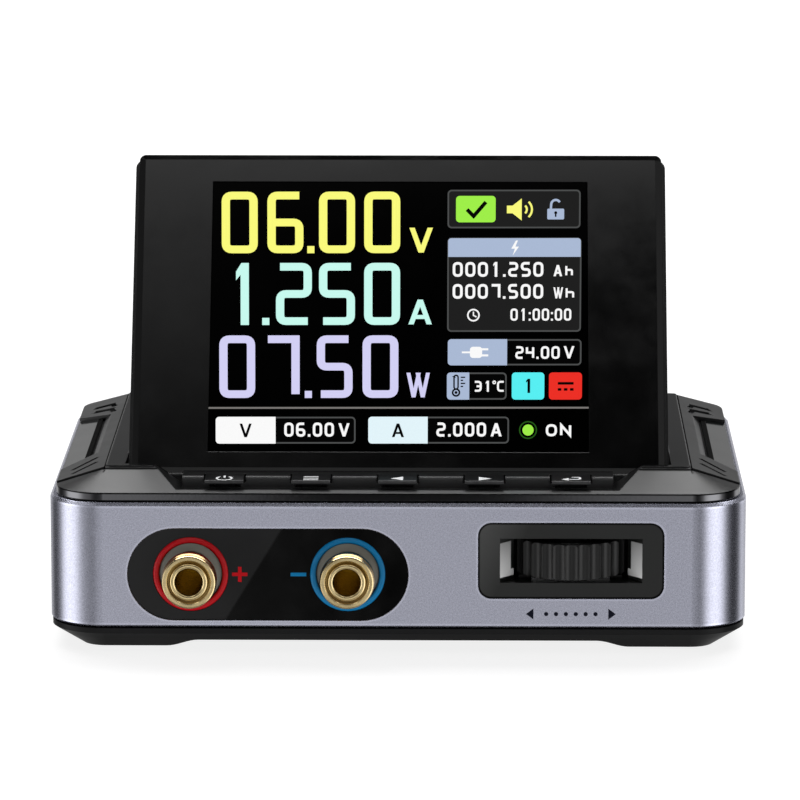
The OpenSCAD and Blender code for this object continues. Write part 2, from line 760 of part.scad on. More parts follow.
module press_plunger() {
  color([0.85, 0.85, 0.82]) in_row() upright(wheel_x, slide_z + slide_t / 2, slide_back, press_y + 0.9)
    circle(0.8);
}

module encoder_base() {
  x = slide_w / 2;
  color([0.12, 0.12, 0.13]) in_row() {
    block(wheel_x - x - 2, wheel_x + x + 2, board_front + 0.2, slide_back - 0.1, board_top,
      slide_z - slack);
    for (s = [-1, 1]) translate([wheel_x + s * (x + 1.1), 0, 0])
      block(-0.9, 0.9, board_front + 0.2, slide_back - 0.1, slide_z - slack - 0.1, slide_z + 0.8);
  }
}

module press_switch() {
  color([0.1, 0.1, 0.11]) in_row() difference() {
    block(wheel_x - 3, wheel_x + 3, press_y, press_y + 4, board_top, slide_z + 2);
    upright(wheel_x, slide_z + slide_t / 2, press_y - cut, press_y + 1.8) circle(0.9);
  }
}

// Keys

// A key's tab seen from its side: square at the back and rounded along its front edge
module key_profile() {
  r = key_t / 2;
  translate([key_front + r, key_top - key_t]) square([key_back - key_front - r, key_t]);
  translate([key_front, key_top - key_t]) square([2 * r, r]);
  translate([key_front + r, key_top - r]) circle(r);
}

module key_cap(i) {
  color([0.07, 0.07, 0.075]) in_row() translate([key_x(i), 0, 0]) {
    translate([-key_w / 2, 0, 0]) rotate([90, 0, 90]) linear_extrude(key_w) key_profile();
    block(-stem_w / 2, stem_w / 2, stem_y - stem_d / 2, stem_y + stem_d / 2, stem_bottom, key_top - 0.2);
    block(-stem_w / 2 - 0.45, stem_w / 2 + 0.45, stem_y - stem_d / 2, stem_y + stem_d / 2,
      recess_z - floor_t - 0.7, recess_z - floor_t - 0.1);
  }
}

module key_plunger(i) {
  color([0.85, 0.85, 0.82]) in_row() translate([key_x(i), stem_y, switch_top - 0.25])
    cylinder(r = plunger_r, h = stem_bottom - switch_top + 0.25);
}

module key_switches() {
  color([0.75, 0.76, 0.78]) in_row() at_keys() difference() {
    block(-switch_w / 2, switch_w / 2, stem_y - switch_d / 2, stem_y + switch_d / 2,
      switch_top - switch_h, switch_top);
    translate([0, stem_y, switch_top - 0.7]) cylinder(r = plunger_r + 0.1, h = 2);
  }
}

module key_board() {
  color([0.05, 0.25, 0.12]) in_row() difference() {
    block(-strip_x, strip_x, stem_y - 1.6, stem_y + 1.6, key_board_z, key_board_z + key_board_t);
    for (s = [-1, 1]) translate([s * key_post_x, stem_y, key_board_z - cut])
      cylinder(r = 0.75, h = key_board_t + 2 * cut);
  }
}

module key_board_screws() {
  color([0.6, 0.6, 0.62]) in_row() for (s = [-1, 1]) translate([s * key_post_x, stem_y, key_board_z]) {
    translate([0, 0, -0.6]) cylinder(r = 0.95, h = 0.6);
    translate([0, 0, -0.1]) cylinder(r = 0.6, h = 3);
  }
}

// Electronics

module main_board() {
  color([0.04, 0.22, 0.12]) in_row() difference() {
    translate([0, (board_front + board_back) / 2, board_z])
      slab(2 * board_x, board_back - board_front, 3, board_t);
    at_corners(screw_x, screw_y, board_z - cut) cylinder(r = screw_r + 0.3, h = board_t + 2 * cut);
  }
}

transistor_x = [-21, -11, -1, 9];
module power_transistors() {
  color([0.08, 0.08, 0.09]) in_row() for (x = transistor_x)
    block(x - 2.5, x + 2.5, 3, 9, board_top, board_top + 1.1);
}

module heat_sink() {
  base = board_top + 1.2;
  x0 = transistor_x[0] - 5;
  x1 = transistor_x[3] + 5;
  fins = 8;
  color([0.6, 0.61, 0.63]) in_row() {
    block(x0, x1, -5, 17, base, base + 1.8);
    for (i = [0 : fins - 1]) let (x = x0 + i * (x1 - x0 - 1.2) / (fins - 1))
      block(x, x + 1.2, -5, 17, base + 1.7, tray_floor - cover_wall - 0.4);
    // feet that stand on the board
    for (x = [x0, x1 - 2], y = [-5, 14]) block(x, x + 2, y, y + 3, board_top, base + 0.1);
  }
}

module power_inductor() {
  color([0.3, 0.3, 0.32]) in_row() translate([board_x - 21.8, 6, board_top]) slab(13, 13, 2, 7);
}

module capacitors() {
  color([0.15, 0.16, 0.2]) in_row() {
    for (y = [-8, 2, 12]) translate([board_x - 8.8, y, board_top]) cylinder(r = 4, h = 9);
    for (y = [-10, 0]) translate([11.8 - board_x, y, board_top]) cylinder(r = 4, h = 9);
  }
}

module control_chips() {
  color([0.07, 0.07, 0.08]) in_row() {
    block(-3, 7, -20, -10, board_top, board_top + 1.4);
    block(-20, -15, -19, -13, board_top, board_top + 1.2);
  }
}

module buzzer() {
  color([0.05, 0.05, 0.05]) in_row() translate([11.8 - board_x, 12, board_top]) difference() {
    cylinder(r = 4.5, h = 5);
    translate([0, 0, 4]) cylinder(r = 1, h = 2);
  }
}

ribbon_x = 6;        // middle of the ribbon, beside the sockets' tails
ribbon_w = 12;
ribbon_t = 0.3;
module board_socket() {
  color([0.85, 0.83, 0.75]) in_row() difference() {
    block(ribbon_x - ribbon_w / 2 - 1.5, ribbon_x + ribbon_w / 2 + 1.5, hinge_y - 1.8, hinge_y + 1.8,
      board_top, board_top + 3);
    block(ribbon_x - ribbon_w / 2 - 0.1, ribbon_x + ribbon_w / 2 + 0.1, hinge_y - ribbon_t / 2 - slack,
      hinge_y + ribbon_t / 2 + slack,
      board_top + 1, board_top + 4);
  }
}

module board_ribbon() {
  color([0.85, 0.6, 0.25]) in_row()
    block(ribbon_x - ribbon_w / 2, ribbon_x + ribbon_w / 2, hinge_y - ribbon_t / 2, hinge_y + ribbon_t / 2,
    board_top + 1.05, hinge_z - 0.4);
}

// Rear ports

module rear_panel() {
  color([0.05, 0.05, 0.055]) in_row() difference() {
    union() {
      upright(ports_x, ports_z, -wall_y - 0.05, half_d - panel_inset)
        rounded_rect(ports_w - 2 * fit, ports_h - 2 * fit, 2.1 - fit);
      upright(ports_x, ports_z, -wall_y - flange_t, -wall_y - 0.05)
        rounded_rect(ports_w + 2 * flange, ports_h + 2 * flange, 2.1 + flange);
    }
    upright(jack_x, jack_z, half_d - 6, half_d + cut) circle(jack_nose_r + 0.1);
    upright(usb_c_x, board_top + usb_h / 2, half_d - 6, half_d + cut) stadium(usb_w + 0.3, usb_h + 0.3);
    upright(data_port_x, board_top + data_h / 2, half_d - 6, half_d + cut) data_outline(0.15);
  }
}

module data_outline(grow) {
  w = data_w / 2 + grow;
  h = data_h / 2 + grow;
  polygon([[-w, h], [w, h], [w, -h * 0.2], [w - 1, -h], [1 - w, -h], [-w, -h * 0.2]]);
}

module usb_c_shell() {
  z = board_top + usb_h / 2;
  color([0.75, 0.76, 0.78]) in_row() difference() {
    upright(usb_c_x, z, half_d - 8.2, half_d - 0.4) stadium(usb_w, usb_h);
    upright(usb_c_x, z, half_d - 7.6, half_d + cut) stadium(usb_w - 2 * shell_t, usb_h - 2 * shell_t);
  }
}

module usb_c_tongue() {
  z = board_top + usb_h / 2;
  color([0.1, 0.1, 0.1]) in_row()
    block(usb_c_x - 3.35, usb_c_x + 3.35, half_d - 7.6, half_d - 1.2, z - 0.35, z + 0.35);
}

module data_port_shell() {
  z = board_top + data_h / 2;
  color([0.75, 0.76, 0.78]) in_row() difference() {
    upright(data_port_x, z, half_d - 6.4, half_d - 0.4) data_outline(0);
    upright(data_port_x, z, half_d - 5.8, half_d + cut) data_outline(-shell_t);
  }
}

module data_port_tongue() {
  z = board_top + data_h / 2;
  color([0.1, 0.1, 0.1]) in_row()
    block(data_port_x - 1.9, data_port_x + 1.9, half_d - 5.8, half_d - 1.2, z - 0.2, z + 0.5);
}

module power_jack() {
  y0 = half_d - 16.5;
  y1 = half_d - 3.1;
  color([0.07, 0.07, 0.075]) in_row() difference() {
    union() {
      block(jack_x - jack_size / 2, jack_x + jack_size / 2, y0, y1, board_top, board_top + jack_size);
      upright(jack_x, jack_z, y1 - 0.1, half_d - 0.5) circle(jack_nose_r);
    }
    upright(jack_x, jack_z, half_d - 10, half_d + cut) circle(jack_bore_r);
    upright(jack_x, jack_z, half_d - 12, half_d) circle(jack_pin_r + nip);
  }
}

module power_jack_pin() {
  color([0.8, 0.8, 0.78]) in_row() upright(jack_x, jack_z, half_d - 11.95, half_d - 2.2) circle(jack_pin_r);
}

// Flap

module hinge_pins() {
  color([0.65, 0.65, 0.68]) in_row() translate([0, hinge_y, hinge_z]) for (s = [-1, 1])
    mirror([s < 0 ? 1 : 0, 0, 0])
    rod_x(hinge_pin_r, tray_x - 6.2, tray_x + 3.3);
}

module hinge_washers() {
  color([0.7, 0.7, 0.72]) in_row() translate([0, hinge_y, hinge_z]) for (s = [-1, 1])
    mirror([s < 0 ? 1 : 0, 0, 0]) difference() {
    rod_x(2.8, tray_x - flap_gap + 0.05, tray_x);
    rod_x(hinge_pin_r + nip, tray_x - 1, tray_x + 1);
  }
}

split_z = barrel_r - bezel_t;      // where the bezel sits on the shell
shell_wall = 1.3;
back_chamfer = 0.9;
picture_w = flap_w - 2 * picture_side;
picture_h = flap_l - picture_foot - picture_head;
glass_x = picture_w / 2 + 5.1;
glass_y0 = picture_foot - 0.6;
glass_y1 = flap_l - picture_head + 2.2;
boss_x = flap_w / 2 - 4;
boss_ys = [6.5, flap_l - 5];

// A plate over the whole flap whose outer face is bevelled all round
module flap_plate(w, z0, z1, r, inset, h) {
  translate([0, flap_l / 2, z0]) slab(w, flap_l, r, z1 - z0 - h);
  translate([0, flap_l / 2, z1 - h]) tapered_slab(w, flap_l, r, inset, h);
}

module display_shell() {
  w = flap_w;
  color([0.06, 0.06, 0.065]) in_row() on_flap() difference() {
    union() {
      mirror([0, 0, 1]) flap_plate(w, -split_z + slack, barrel_r, 1.5, back_chamfer, back_chamfer);
      block(-w / 2, w / 2, 0, 6, -barrel_r, split_z - slack);
      difference() {
        rod_x(barrel_r, -w / 2, w / 2);
        block(-w, w, 0, barrel_r + cut, split_z - slack, barrel_r + cut);
      }
    }
    block(-w / 2 + shell_wall, w / 2 - shell_wall, glass_y0 - 0.1, flap_l - shell_wall,
      -barrel_r + shell_wall, barrel_r);
    // ribbon way through the barrel
    translate([ribbon_x, 0, 0]) {
      rod_x(2.4, -ribbon_w / 2 - 1.5, ribbon_w / 2 + 1.5);
      block(-ribbon_w / 2 - 1.5, ribbon_w / 2 + 1.5, -barrel_r - cut, 0.9, -barrel_r - cut, 0.9);
      block(-ribbon_w / 2 - 1.5, ribbon_w / 2 + 1.5, 0, 4, -2.4, -0.6);
    }
    for (s = [-1, 1]) mirror([s < 0 ? 1 : 0, 0, 0]) rod_x(hinge_pin_r + slack, w / 2 - 7, w / 2 + cut);
    for (s = [-1, 1], y = boss_ys) translate([s * boss_x, y, -barrel_r - cut]) {
      cylinder(r = 1, h = 4);
      cylinder(r = 1.7, h = cut + 0.9);
    }
  }
}

module display_bezel() {
  w = flap_w - 2 * bezel_step;
  color([0.02, 0.02, 0.022]) in_row() on_flap() difference() {
    union() {
      flap_plate(w, split_z, barrel_r, 1.05, 0.95, 0.4);
      for (s = [-1, 1], y = boss_ys) translate([s * boss_x, y, -barrel_r + shell_wall + 0.05])
        cylinder(r = 1.8, h = flap_t - bezel_t - shell_wall);
    }
    translate([0, picture_foot + picture_h / 2, 0]) cube([picture_w, picture_h, 3 * flap_t], center = true);
    for (s = [-1, 1], y = boss_ys) translate([s * boss_x, y, -barrel_r])
      cylinder(r = 0.75, h = flap_t - 1.5);
    block(-w, w, -cut, 0.1, split_z - cut, barrel_r + cut);
  }
}

module lcd_cell() {
  color([0.01, 0.01, 0.012]) in_row() on_flap() {
    block(-glass_x, glass_x, glass_y0, glass_y1, split_z - 1.15, split_z - 0.05);
    block(-picture_w / 2 + 0.1, picture_w / 2 - 0.1, picture_foot + 0.1, flap_l - picture_head - 0.1,
      split_z - 0.2, barrel_r - 0.1);
  }
}

module lcd_backlight() {
  color([0.8, 0.8, 0.82]) in_row() on_flap()
    block(-glass_x, glass_x, glass_y0, glass_y1, split_z - 3.1, split_z - 1.2);
}

module display_board() {
  color([0.04, 0.22, 0.12]) in_row() on_flap()
    block(-glass_x - 0.8, glass_x + 0.8, 5.5, glass_y1, split_z - 4.15, split_z - 3.15);
}

module display_screws() {
  color([0.35, 0.35, 0.37]) in_row() on_flap() for (s = [-1, 1], y = boss_ys)
    translate([s * boss_x, y, -barrel_r + 0.2]) difference() {
    union() {
      cylinder(r = 1.55, h = 0.65);
      cylinder(r = 0.7, h = 5);
    }
    translate([0, 0, -cut]) cylinder(r = 0.6, h = cut + 0.4, $fn = 6);
  }
}

module display_ribbon() {
  z = -1.5;
  color([0.85, 0.6, 0.25]) in_row() on_flap()
    block(ribbon_x - ribbon_w / 2, ribbon_x + ribbon_w / 2, 0.5, 5.45, z - ribbon_t / 2, z + ribbon_t / 2);
}

frame_band();
top_cover();
bottom_cover();
side_inlays();
socket_panel();
positive_ring();
negative_ring();
socket_bushes();
positive_socket();
negative_socket();
socket_nuts();
socket_lugs();
wheel_bezel();
thumb_wheel();
wheel_pin();
wheel_slider();
press_plunger();
encoder_base();
press_switch();
key_cap(0);  // power_key
key_cap(1);  // memory_key
key_cap(2);  // left_key
key_cap(3);  // right_key
key_cap(4);  // output_key
key_plunger(0);  // power_plunger
key_plunger(1);  // memory_plunger
key_plunger(2);  // left_plunger
key_plunger(3);  // right_plunger
key_plunger(4);  // output_plunger
key_switches();
key_board();
key_board_screws();
main_board();
heat_sink();
power_transistors();
power_inductor();
capacitors();
control_chips();
buzzer();
board_socket();
rear_panel();
usb_c_shell();
usb_c_tongue();
data_port_shell();
data_port_tongue();
power_jack();
power_jack_pin();
hinge_pins();
hinge_washers();
case_screws();
rubber_feet();
display_shell();
display_bezel();
lcd_cell();
lcd_backlight();
display_board();
display_screws();
display_ribbon();
board_ribbon();
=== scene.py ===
"""Looks of a pocket laboratory supply: finishes, prints, display picture, light, floor and camera."""

import json
import math

import bpy
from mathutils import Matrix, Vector
from mathutils.geometry import normal


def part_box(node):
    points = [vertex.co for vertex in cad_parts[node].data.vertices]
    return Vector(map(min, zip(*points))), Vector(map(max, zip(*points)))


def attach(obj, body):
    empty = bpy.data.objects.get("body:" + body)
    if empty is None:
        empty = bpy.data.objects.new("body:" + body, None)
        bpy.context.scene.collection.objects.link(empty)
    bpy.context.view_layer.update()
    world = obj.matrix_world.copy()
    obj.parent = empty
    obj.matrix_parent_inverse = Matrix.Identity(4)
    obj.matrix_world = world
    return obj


bl_info = {
    "name": "Laboratory supply",
    "version": (1, 0, 0),
    "blender": (4, 5, 0),
    "location": "3D View > Sidebar > Supply",
    "description": "Dresses the packed laboratory supply and lights it",
    "category": "Object",
}

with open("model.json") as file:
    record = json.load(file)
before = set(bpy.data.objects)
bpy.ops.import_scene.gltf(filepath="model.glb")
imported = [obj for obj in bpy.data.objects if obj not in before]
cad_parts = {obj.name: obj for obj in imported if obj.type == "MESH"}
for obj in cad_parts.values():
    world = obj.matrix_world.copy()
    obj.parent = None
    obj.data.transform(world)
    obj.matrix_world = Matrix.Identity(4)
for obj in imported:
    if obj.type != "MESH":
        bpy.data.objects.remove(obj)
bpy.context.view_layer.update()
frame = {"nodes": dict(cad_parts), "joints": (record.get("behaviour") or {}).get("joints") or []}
MM = 0.001


def node_box(name):
    """Low and high corner of a CAD node at rest, in metres."""
    low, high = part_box(name)
    return Vector(low), Vector(high)


def node_middle(name):
    """Middle of a CAD node's box at rest."""
    low, high = node_box(name)
    return (low + high) / 2


FLAP_HINGE = next(joint for joint in frame["joints"] if joint["name"] == "flap_hinge")
HINGE = Vector(FLAP_HINGE["pos_m"])
FLAP_LEAN = math.radians(-FLAP_HINGE["range_deg"][0])
KEYS = ("power", "memory", "left", "right", "output")
FLANGE = 0.7 * MM  # how far the wheel bezel and the socket panel reach behind the band, round their openings
BEZEL_CORNER = 2.1 * MM  # radius of the corners of the wheel bezel
BLACK = (0, 0, 0)


# Small helpers for meshes


def mesh_object(name, points, faces, material=None, body=None):
    """A mesh in the scene, dressed and set on its body where those are given."""
    mesh = bpy.data.meshes.new(name)
    mesh.from_pydata([tuple(p) for p in points], [], faces)
    mesh.update()
    thing = bpy.data.objects.new(name, mesh)
    bpy.context.scene.collection.objects.link(thing)
    if material:
        mesh.materials.append(material)
    if body:
        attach(thing, body)
    return thing


class Sheet:
    """Flat shapes collected in plane coordinates and laid on a surface as one thin mesh."""

    def __init__(self, place):
        self.place = place
        self.points = []
        self.faces = []

    def polygon(self, outline, lift=0.0):
        """One flat face with that outline."""
        start = len(self.points)
        for x, y in outline:
            self.points.append(self.place(x, y, lift))
        self.faces.append(list(range(start, start + len(outline))))

    def ribbon(self, path, width, closed=False, tall=None, lift=0.0):
        """A stroke of that width along the path; tall is its thickness where it runs sideways."""
        tall = tall or width
        narrowest = 0.35  # keeps the mitre of a sharp corner short
        pts = [Vector((x / width, y / tall)) for x, y in path]
        count = len(pts)
        left, right = [], []
        for i, p in enumerate(pts):
            before = pts[i - 1] if (closed or i > 0) else None
            after = pts[(i + 1) % count] if (closed or i < count - 1) else None
            d1 = (p - before).normalized() if before is not None else (after - p).normalized()
            d2 = (after - p).normalized() if after is not None else d1
            n1, n2 = Vector((-d1.y, d1.x)), Vector((-d2.y, d2.x))
            mitre = n1 + n2
            mitre = mitre.normalized() if mitre.length > 1e-6 else n1
            reach = 0.5 / max(narrowest, mitre.dot(n1))
            left.append(p + mitre * reach)
            right.append(p - mitre * reach)
        start = len(self.points)
        for a, b in zip(left, right):
            self.points.append(self.place(a.x * width, a.y * tall, lift))
            self.points.append(self.place(b.x * width, b.y * tall, lift))
        for i in range(count if closed else count - 1):
            a = start + 2 * i
            b = start + 2 * ((i + 1) % count)
            self.faces.append([a, b, b + 1, a + 1])

    def build(self, name, material, body, slot):
        """Makes the mesh, with every face turned outward, and sets it on its body."""
        outward = Vector(self.place(0, 0, 1)) - Vector(self.place(0, 0, 0))
        for face in self.faces:
            if normal([Vector(self.points[i]) for i in face]).dot(outward) < 0:
                face.reverse()
        mesh_object(name, self.points, self.faces, material, body)


def oblong(x0, y0, x1, y1):
    """Corners of an upright rectangle."""
    return [(x0, y0), (x1, y0), (x1, y1), (x0, y1)]


def arc(cx, cy, r, start, end, steps=8):
    """Points on a circle's arc, in degrees."""
    return [
        (cx + r * math.cos(math.radians(start + (end - start) * i / steps)),
         cy + r * math.sin(math.radians(start + (end - start) * i / steps)))
        for i in range(steps + 1)
    ]


def rounded(x0, y0, x1, y1, r, corners=(1, 1, 1, 1)):
    """Outline of a rectangle; corners says which are round: low left, low right, high right, high left."""
    out = []
    for on, cx, cy, start, px, py in (
        (corners[0], x0 + r, y0 + r, 180, x0, y0), (corners[1], x1 - r, y0 + r, 270, x1, y0),
        (corners[2], x1 - r, y1 - r, 0, x1, y1), (corners[3], x0 + r, y1 - r, 90, x0, y1),
    ):
        out += arc(cx, cy, r, start, start + 90, 6) if on else [(px, py)]
    return out


def softened(path, r, closed=False):
    """The path with its corners rounded off."""
    steps, closest = 5, 0.2  # points on a corner, of which those too close to the last are left out
    pts = [Vector(p) for p in path]
    count = len(pts)
    out = []
    for i, p in enumerate(pts):
        if not closed and i in (0, count - 1):
            out.append(tuple(p))
            continue
        a, b = pts[i - 1], pts[(i + 1) % count]
        d1, d2 = (a - p), (b - p)
        cut = min(r, d1.length / 2, d2.length / 2)
        s, e = p + d1.normalized() * cut, p + d2.normalized() * cut
        for k in range(steps + 1):
            t = k / steps
            spot = s * (1 - t) ** 2 + p * (2 * t * (1 - t)) + e * t ** 2
            if not out or (spot - Vector(out[-1])).length > closest:
                out.append(tuple(spot))
    return out


# Materials


def shade(color, factor):
    """The colour made paler or darker."""
    return tuple(min(1, c * factor) for c in color)


class Nodes:
    """Adds nodes to one tree. The values they take are plain ones or other nodes' outputs."""

    def __init__(self, tree, coords):
        self.tree = tree
        self.coords = tree.nodes.new("ShaderNodeTexCoord").outputs[coords]

    def put(self, socket, value):
        """Sets a socket or links it."""
        if isinstance(value, bpy.types.NodeSocket):
            self.tree.links.new(value, socket)
        else:
            socket.default_value = value

    def node(self, kind, output, **inputs):
        """A new node's output, with its inputs set by name."""
        node = self.tree.nodes.new("ShaderNode" + kind)
        for name, value in inputs.items():
            self.put(node.inputs[name.replace("_", " ")], value)
        return node.outputs[output]

    def split(self, axis):
        """How far the point, or the direction, reaches along that axis."""
        return self.node("SeparateXYZ", axis, Vector=self.coords)

    def math(self, operation, first, *others):
        """Applies the operation to the first value and each of the others in turn."""
        for second in others or (0,):
            node = self.tree.nodes.new("ShaderNodeMath")
            node.operation = operation
            self.put(node.inputs[0], first)
            self.put(node.inputs[1], second)
            first = node.outputs[0]
        return first

    def plus(self, *values):
        """The sum of the values."""
        return self.math("ADD", *values)

    def minus(self, first, second):
        """The first value less the second."""
        return self.math("SUBTRACT", first, second)

    def times(self, *values):
        """The product of the values."""
        return self.math("MULTIPLY", *values)

    def most(self, *values):
        """The largest of the values."""
        return self.math("MAXIMUM", *values)

    def ranged(self, value, low, high, start=0.3, end=0.7):
        """Low up to the start, high from the end on and even between them."""
        return self.node("MapRange", "Result", Value=value, From_Min=start, From_Max=end,
                         To_Min=low, To_Max=high)

    def curve(self, value, stops):
        """Level against a value, between the first and the last of the stops."""
        start, end = stops[0][0], stops[-1][0]
        node = self.tree.nodes.new("ShaderNodeFloatCurve")
        node.mapping.clip_max_y = 4
        node.mapping.extend = "HORIZONTAL"
        curve = node.mapping.curves[0]
        for at, level in stops[1:-1]:
            curve.points.new((at - start) / (end - start), level)
        curve.points[0].location = (0, stops[0][1])
        curve.points[-1].location = (1, stops[-1][1])
        for point in curve.points:
            point.handle_type = "AUTO_CLAMPED"
        node.mapping.update()
        self.put(node.inputs["Value"], self.ranged(value, 0, 1, start, end))
        return node.outputs["Value"]


class Finish(Nodes):
    """Builds one procedural material on the principled shader."""

    def __init__(self, name, color, roughness, metallic=0.0):
        self.material = bpy.data.materials.new(name)
        self.material.use_nodes = True
        super().__init__(self.material.node_tree, "Object")
        self.shader = self.tree.nodes["Principled BSDF"]
        self.color = color
        self.normal = None
        self.set(Base_Color=(*color, 1), Roughness=roughness, Metallic=metallic)

    def set(self, **values):
        """Sets or links the shader's own sockets."""
        for key, value in values.items():
            self.put(self.shader.inputs[key.replace("_", " ")], value)
        return self

    def noise(self, scale, detail=2.0, rough=0.5, stretch=(1, 1, 1)):
        """Cloudy values over the object, finer with a larger scale."""
        place = self.node("Mapping", "Vector", Vector=self.coords, Scale=stretch)
        return self.node("TexNoise", "Fac", Vector=place, Scale=scale, Detail=detail, Roughness=rough)

    def mixed(self, factor, first, second):
        """From the first colour, which other nodes may give, to a fixed second one."""
        node = self.tree.nodes.new("ShaderNodeMix")
        node.data_type = "RGBA"
        self.put(node.inputs["A"], (*first, 1) if isinstance(first, tuple) else first)
        self.put(node.inputs["B"], (*second, 1))
        self.put(node.inputs["Factor"], factor)
        return node.outputs["Result"]

    def clouded(self, scale, spread, detail=3.0):
        """The finish's colour, varied a little at that scale."""
        factor = self.ranged(self.noise(scale, detail), 0, 1)
        return self.mixed(factor, shade(self.color, 1 - spread), shade(self.color, 1 + spread))

    def mottled(self, scale, spread):
        """Varies the colour a little."""
        return self.set(Base_Color=self.clouded(scale, spread))

    def smudged(self, scale, low, high):
        """Varies the roughness, as from handling."""
        return self.set(Roughness=self.ranged(self.noise(scale, 4.0, 0.6), low, high))

    def eased(self, radius):
        """Rounds the look of sharp edges."""
        bevel = self.tree.nodes.new("ShaderNodeBevel")
        bevel.samples = 4
        bevel.inputs["Radius"].default_value = radius
        self.normal = bevel.outputs["Normal"]
        return self.set(Normal=self.normal)

    def bumped(self, height, strength, distance):
        """Fine relief on top of what the surface has already."""
        below = {"Normal": self.normal} if self.normal else {}
        self.normal = self.node("Bump", "Normal", Strength=strength, Distance=distance, Height=height,
                                **below)
        return self.set(Normal=self.normal)

    def grained(self, strength=0.3, scale=2600, distance=0.015 * MM):
        """The fine grain of a moulding."""
        return self.bumped(self.noise(scale, 2.0, 0.6), strength, distance)

    def away(self, axis, middle=0):
        """Distance from that place along an object axis, to either side."""
        return self.math("ABSOLUTE", self.minus(self.split(axis), middle))

    def step(self, axis, at, soft=0.04 * MM, about=None):
        """Nought on the low side of that place along an object axis and one on its high side. With about, the
        distance from there is what counts."""
        value = self.split(axis) if about is None else self.away(axis, about)
        return self.ranged(value, 0, 1, at - soft, at + soft)

    def before(self, axis, at, soft=0.04 * MM, about=None):
        """One on the low side of that place and nought on its high side."""
        return self.minus(1, self.step(axis, at, soft, about))

    def length(self, across, upward):
        """Distance that two upright distances make."""
        return self.math("SQRT", self.plus(self.times(across, across), self.times(upward, upward)))

    def radius(self, node):
        """Distance from the axis that runs through a node from front to back."""
        middle = node_middle(node)
        return self.length(self.minus(self.split("X"), middle.x), self.minus(self.split("Z"), middle.z))

    def beyond(self, node, corner):
        """Distance outside the opening in the band that a flanged node shows through, seen from the front."""
        low, high = node_box(node)
        middle, half = (low + high) / 2, (high - low) / 2 - Vector((FLANGE, 0, FLANGE))
        across = self.most(self.minus(self.away("X", middle.x), half.x - corner), 0)
        upward = self.most(self.minus(self.away("Z", middle.z), half.z - corner), 0)
        return self.minus(self.length(across, upward), corner)


def anodised_aluminium(color):
    """Beaded and anodised, with a painted highlight: a paler line along the edges and round both front
    openings.
    """
    f = Finish("anodised_aluminium", color, 0.27, 1.0).eased(0.12 * MM)
    low, high = node_box("frame_band")
    middle = (low.z + high.z) / 2
    panel_corner = node_box("socket_panel")[1].z - node_middle("socket_panel").z - FLANGE
    # Painted highlight: a paler line round both openings on the front face, and along the upper and lower
    # edges
    wear_and_highlight = 0
    for node, corner in (("wheel_bezel", BEZEL_CORNER), ("socket_panel", panel_corner)):
        near = f.ranged(f.beyond(node, corner), 1, 0, 0.22 * MM, 0.34 * MM)
        wear_and_highlight = f.most(f.times(near, f.before("Y", low.y + 0.2 * MM)), wear_and_highlight)
    for edge in (low.z + 0.6 * MM, high.z - 0.6 * MM):
        wear_and_highlight = f.most(wear_and_highlight, f.before("Z", 0.17 * MM, 0.08 * MM, about=edge))
    f.set(Base_Color=f.mixed(wear_and_highlight, f.clouded(4200, 0.12, 1.0), shade(color, 1.25)))
    f.smudged(3600, 0.24, 0.30)
    # The beading stays clear of the rounded edges
    beaded = f.before("Z", high.z - middle - 0.5 * MM, about=middle)
    f.bumped(f.times(f.noise(4600, 1.0, 0.7), beaded), 0.12, 0.01 * MM)
    return f.material


def satin_plastic(name, color, roughness=0.36, grain=2600, depth=0.3, edge=0.15 * MM):
    """Moulded plastic with a fine grain."""
    f = Finish(name, color, roughness).eased(edge).set(IOR=1.4)
    f.mottled(140, 0.12).smudged(90, roughness - 0.05, roughness + 0.07).grained(depth, grain)
    return f.material


def base_plastic(color):
    """Satin black, paler on the upright lip as a painted sheen, and blacker towards the underside as painted
    shade.
    """
    f = Finish("base_plastic", color, 0.4).eased(0.15 * MM).set(IOR=1.2)
    low, high = node_box("bottom_cover")
    # Painted shade: near black and partly metallic towards the bottom
    underside_shade = f.ranged(f.split("Z"), 1, 0, low.z + 1.6 * MM, low.z + 2 * MM)
    # Painted sheen: a paler band along the top of the upright lip
    plain = f.mixed(f.step("Z", high.z - 2 * MM), f.clouded(140, 0.12), (0.012, 0.012, 0.0125))
    f.set(Base_Color=f.mixed(underside_shade, plain, (0.0005, 0.0005, 0.0005)), Metallic=f.times(underside_shade, 0.55))
    f.smudged(90, 0.35, 0.47).grained()
    return f.material


def key_plastic(color):
    """Dark plastic, with an uneven painted highlight along the upper front edge."""
    f = Finish("key_plastic", color, 0.3).eased(0.3 * MM).set(IOR=1.3)
    low, high = node_box("left_key")
    # Painted highlight along the upper front edge, broken up by noise
    edge_highlight = f.times(f.ranged(f.split("Z"), 0, 1, high.z - 0.55 * MM, high.z - 0.3 * MM),
                     f.ranged(f.split("Y"), 1, 0, low.y + 0.1 * MM, low.y + 0.3 * MM),
                     f.ranged(f.noise(900, 3.0), 0.6, 1))
    f.set(Base_Color=f.mixed(edge_highlight, color, (0.06, 0.06, 0.062)))
    f.smudged(90, 0.26, 0.36).grained()
    return f.material


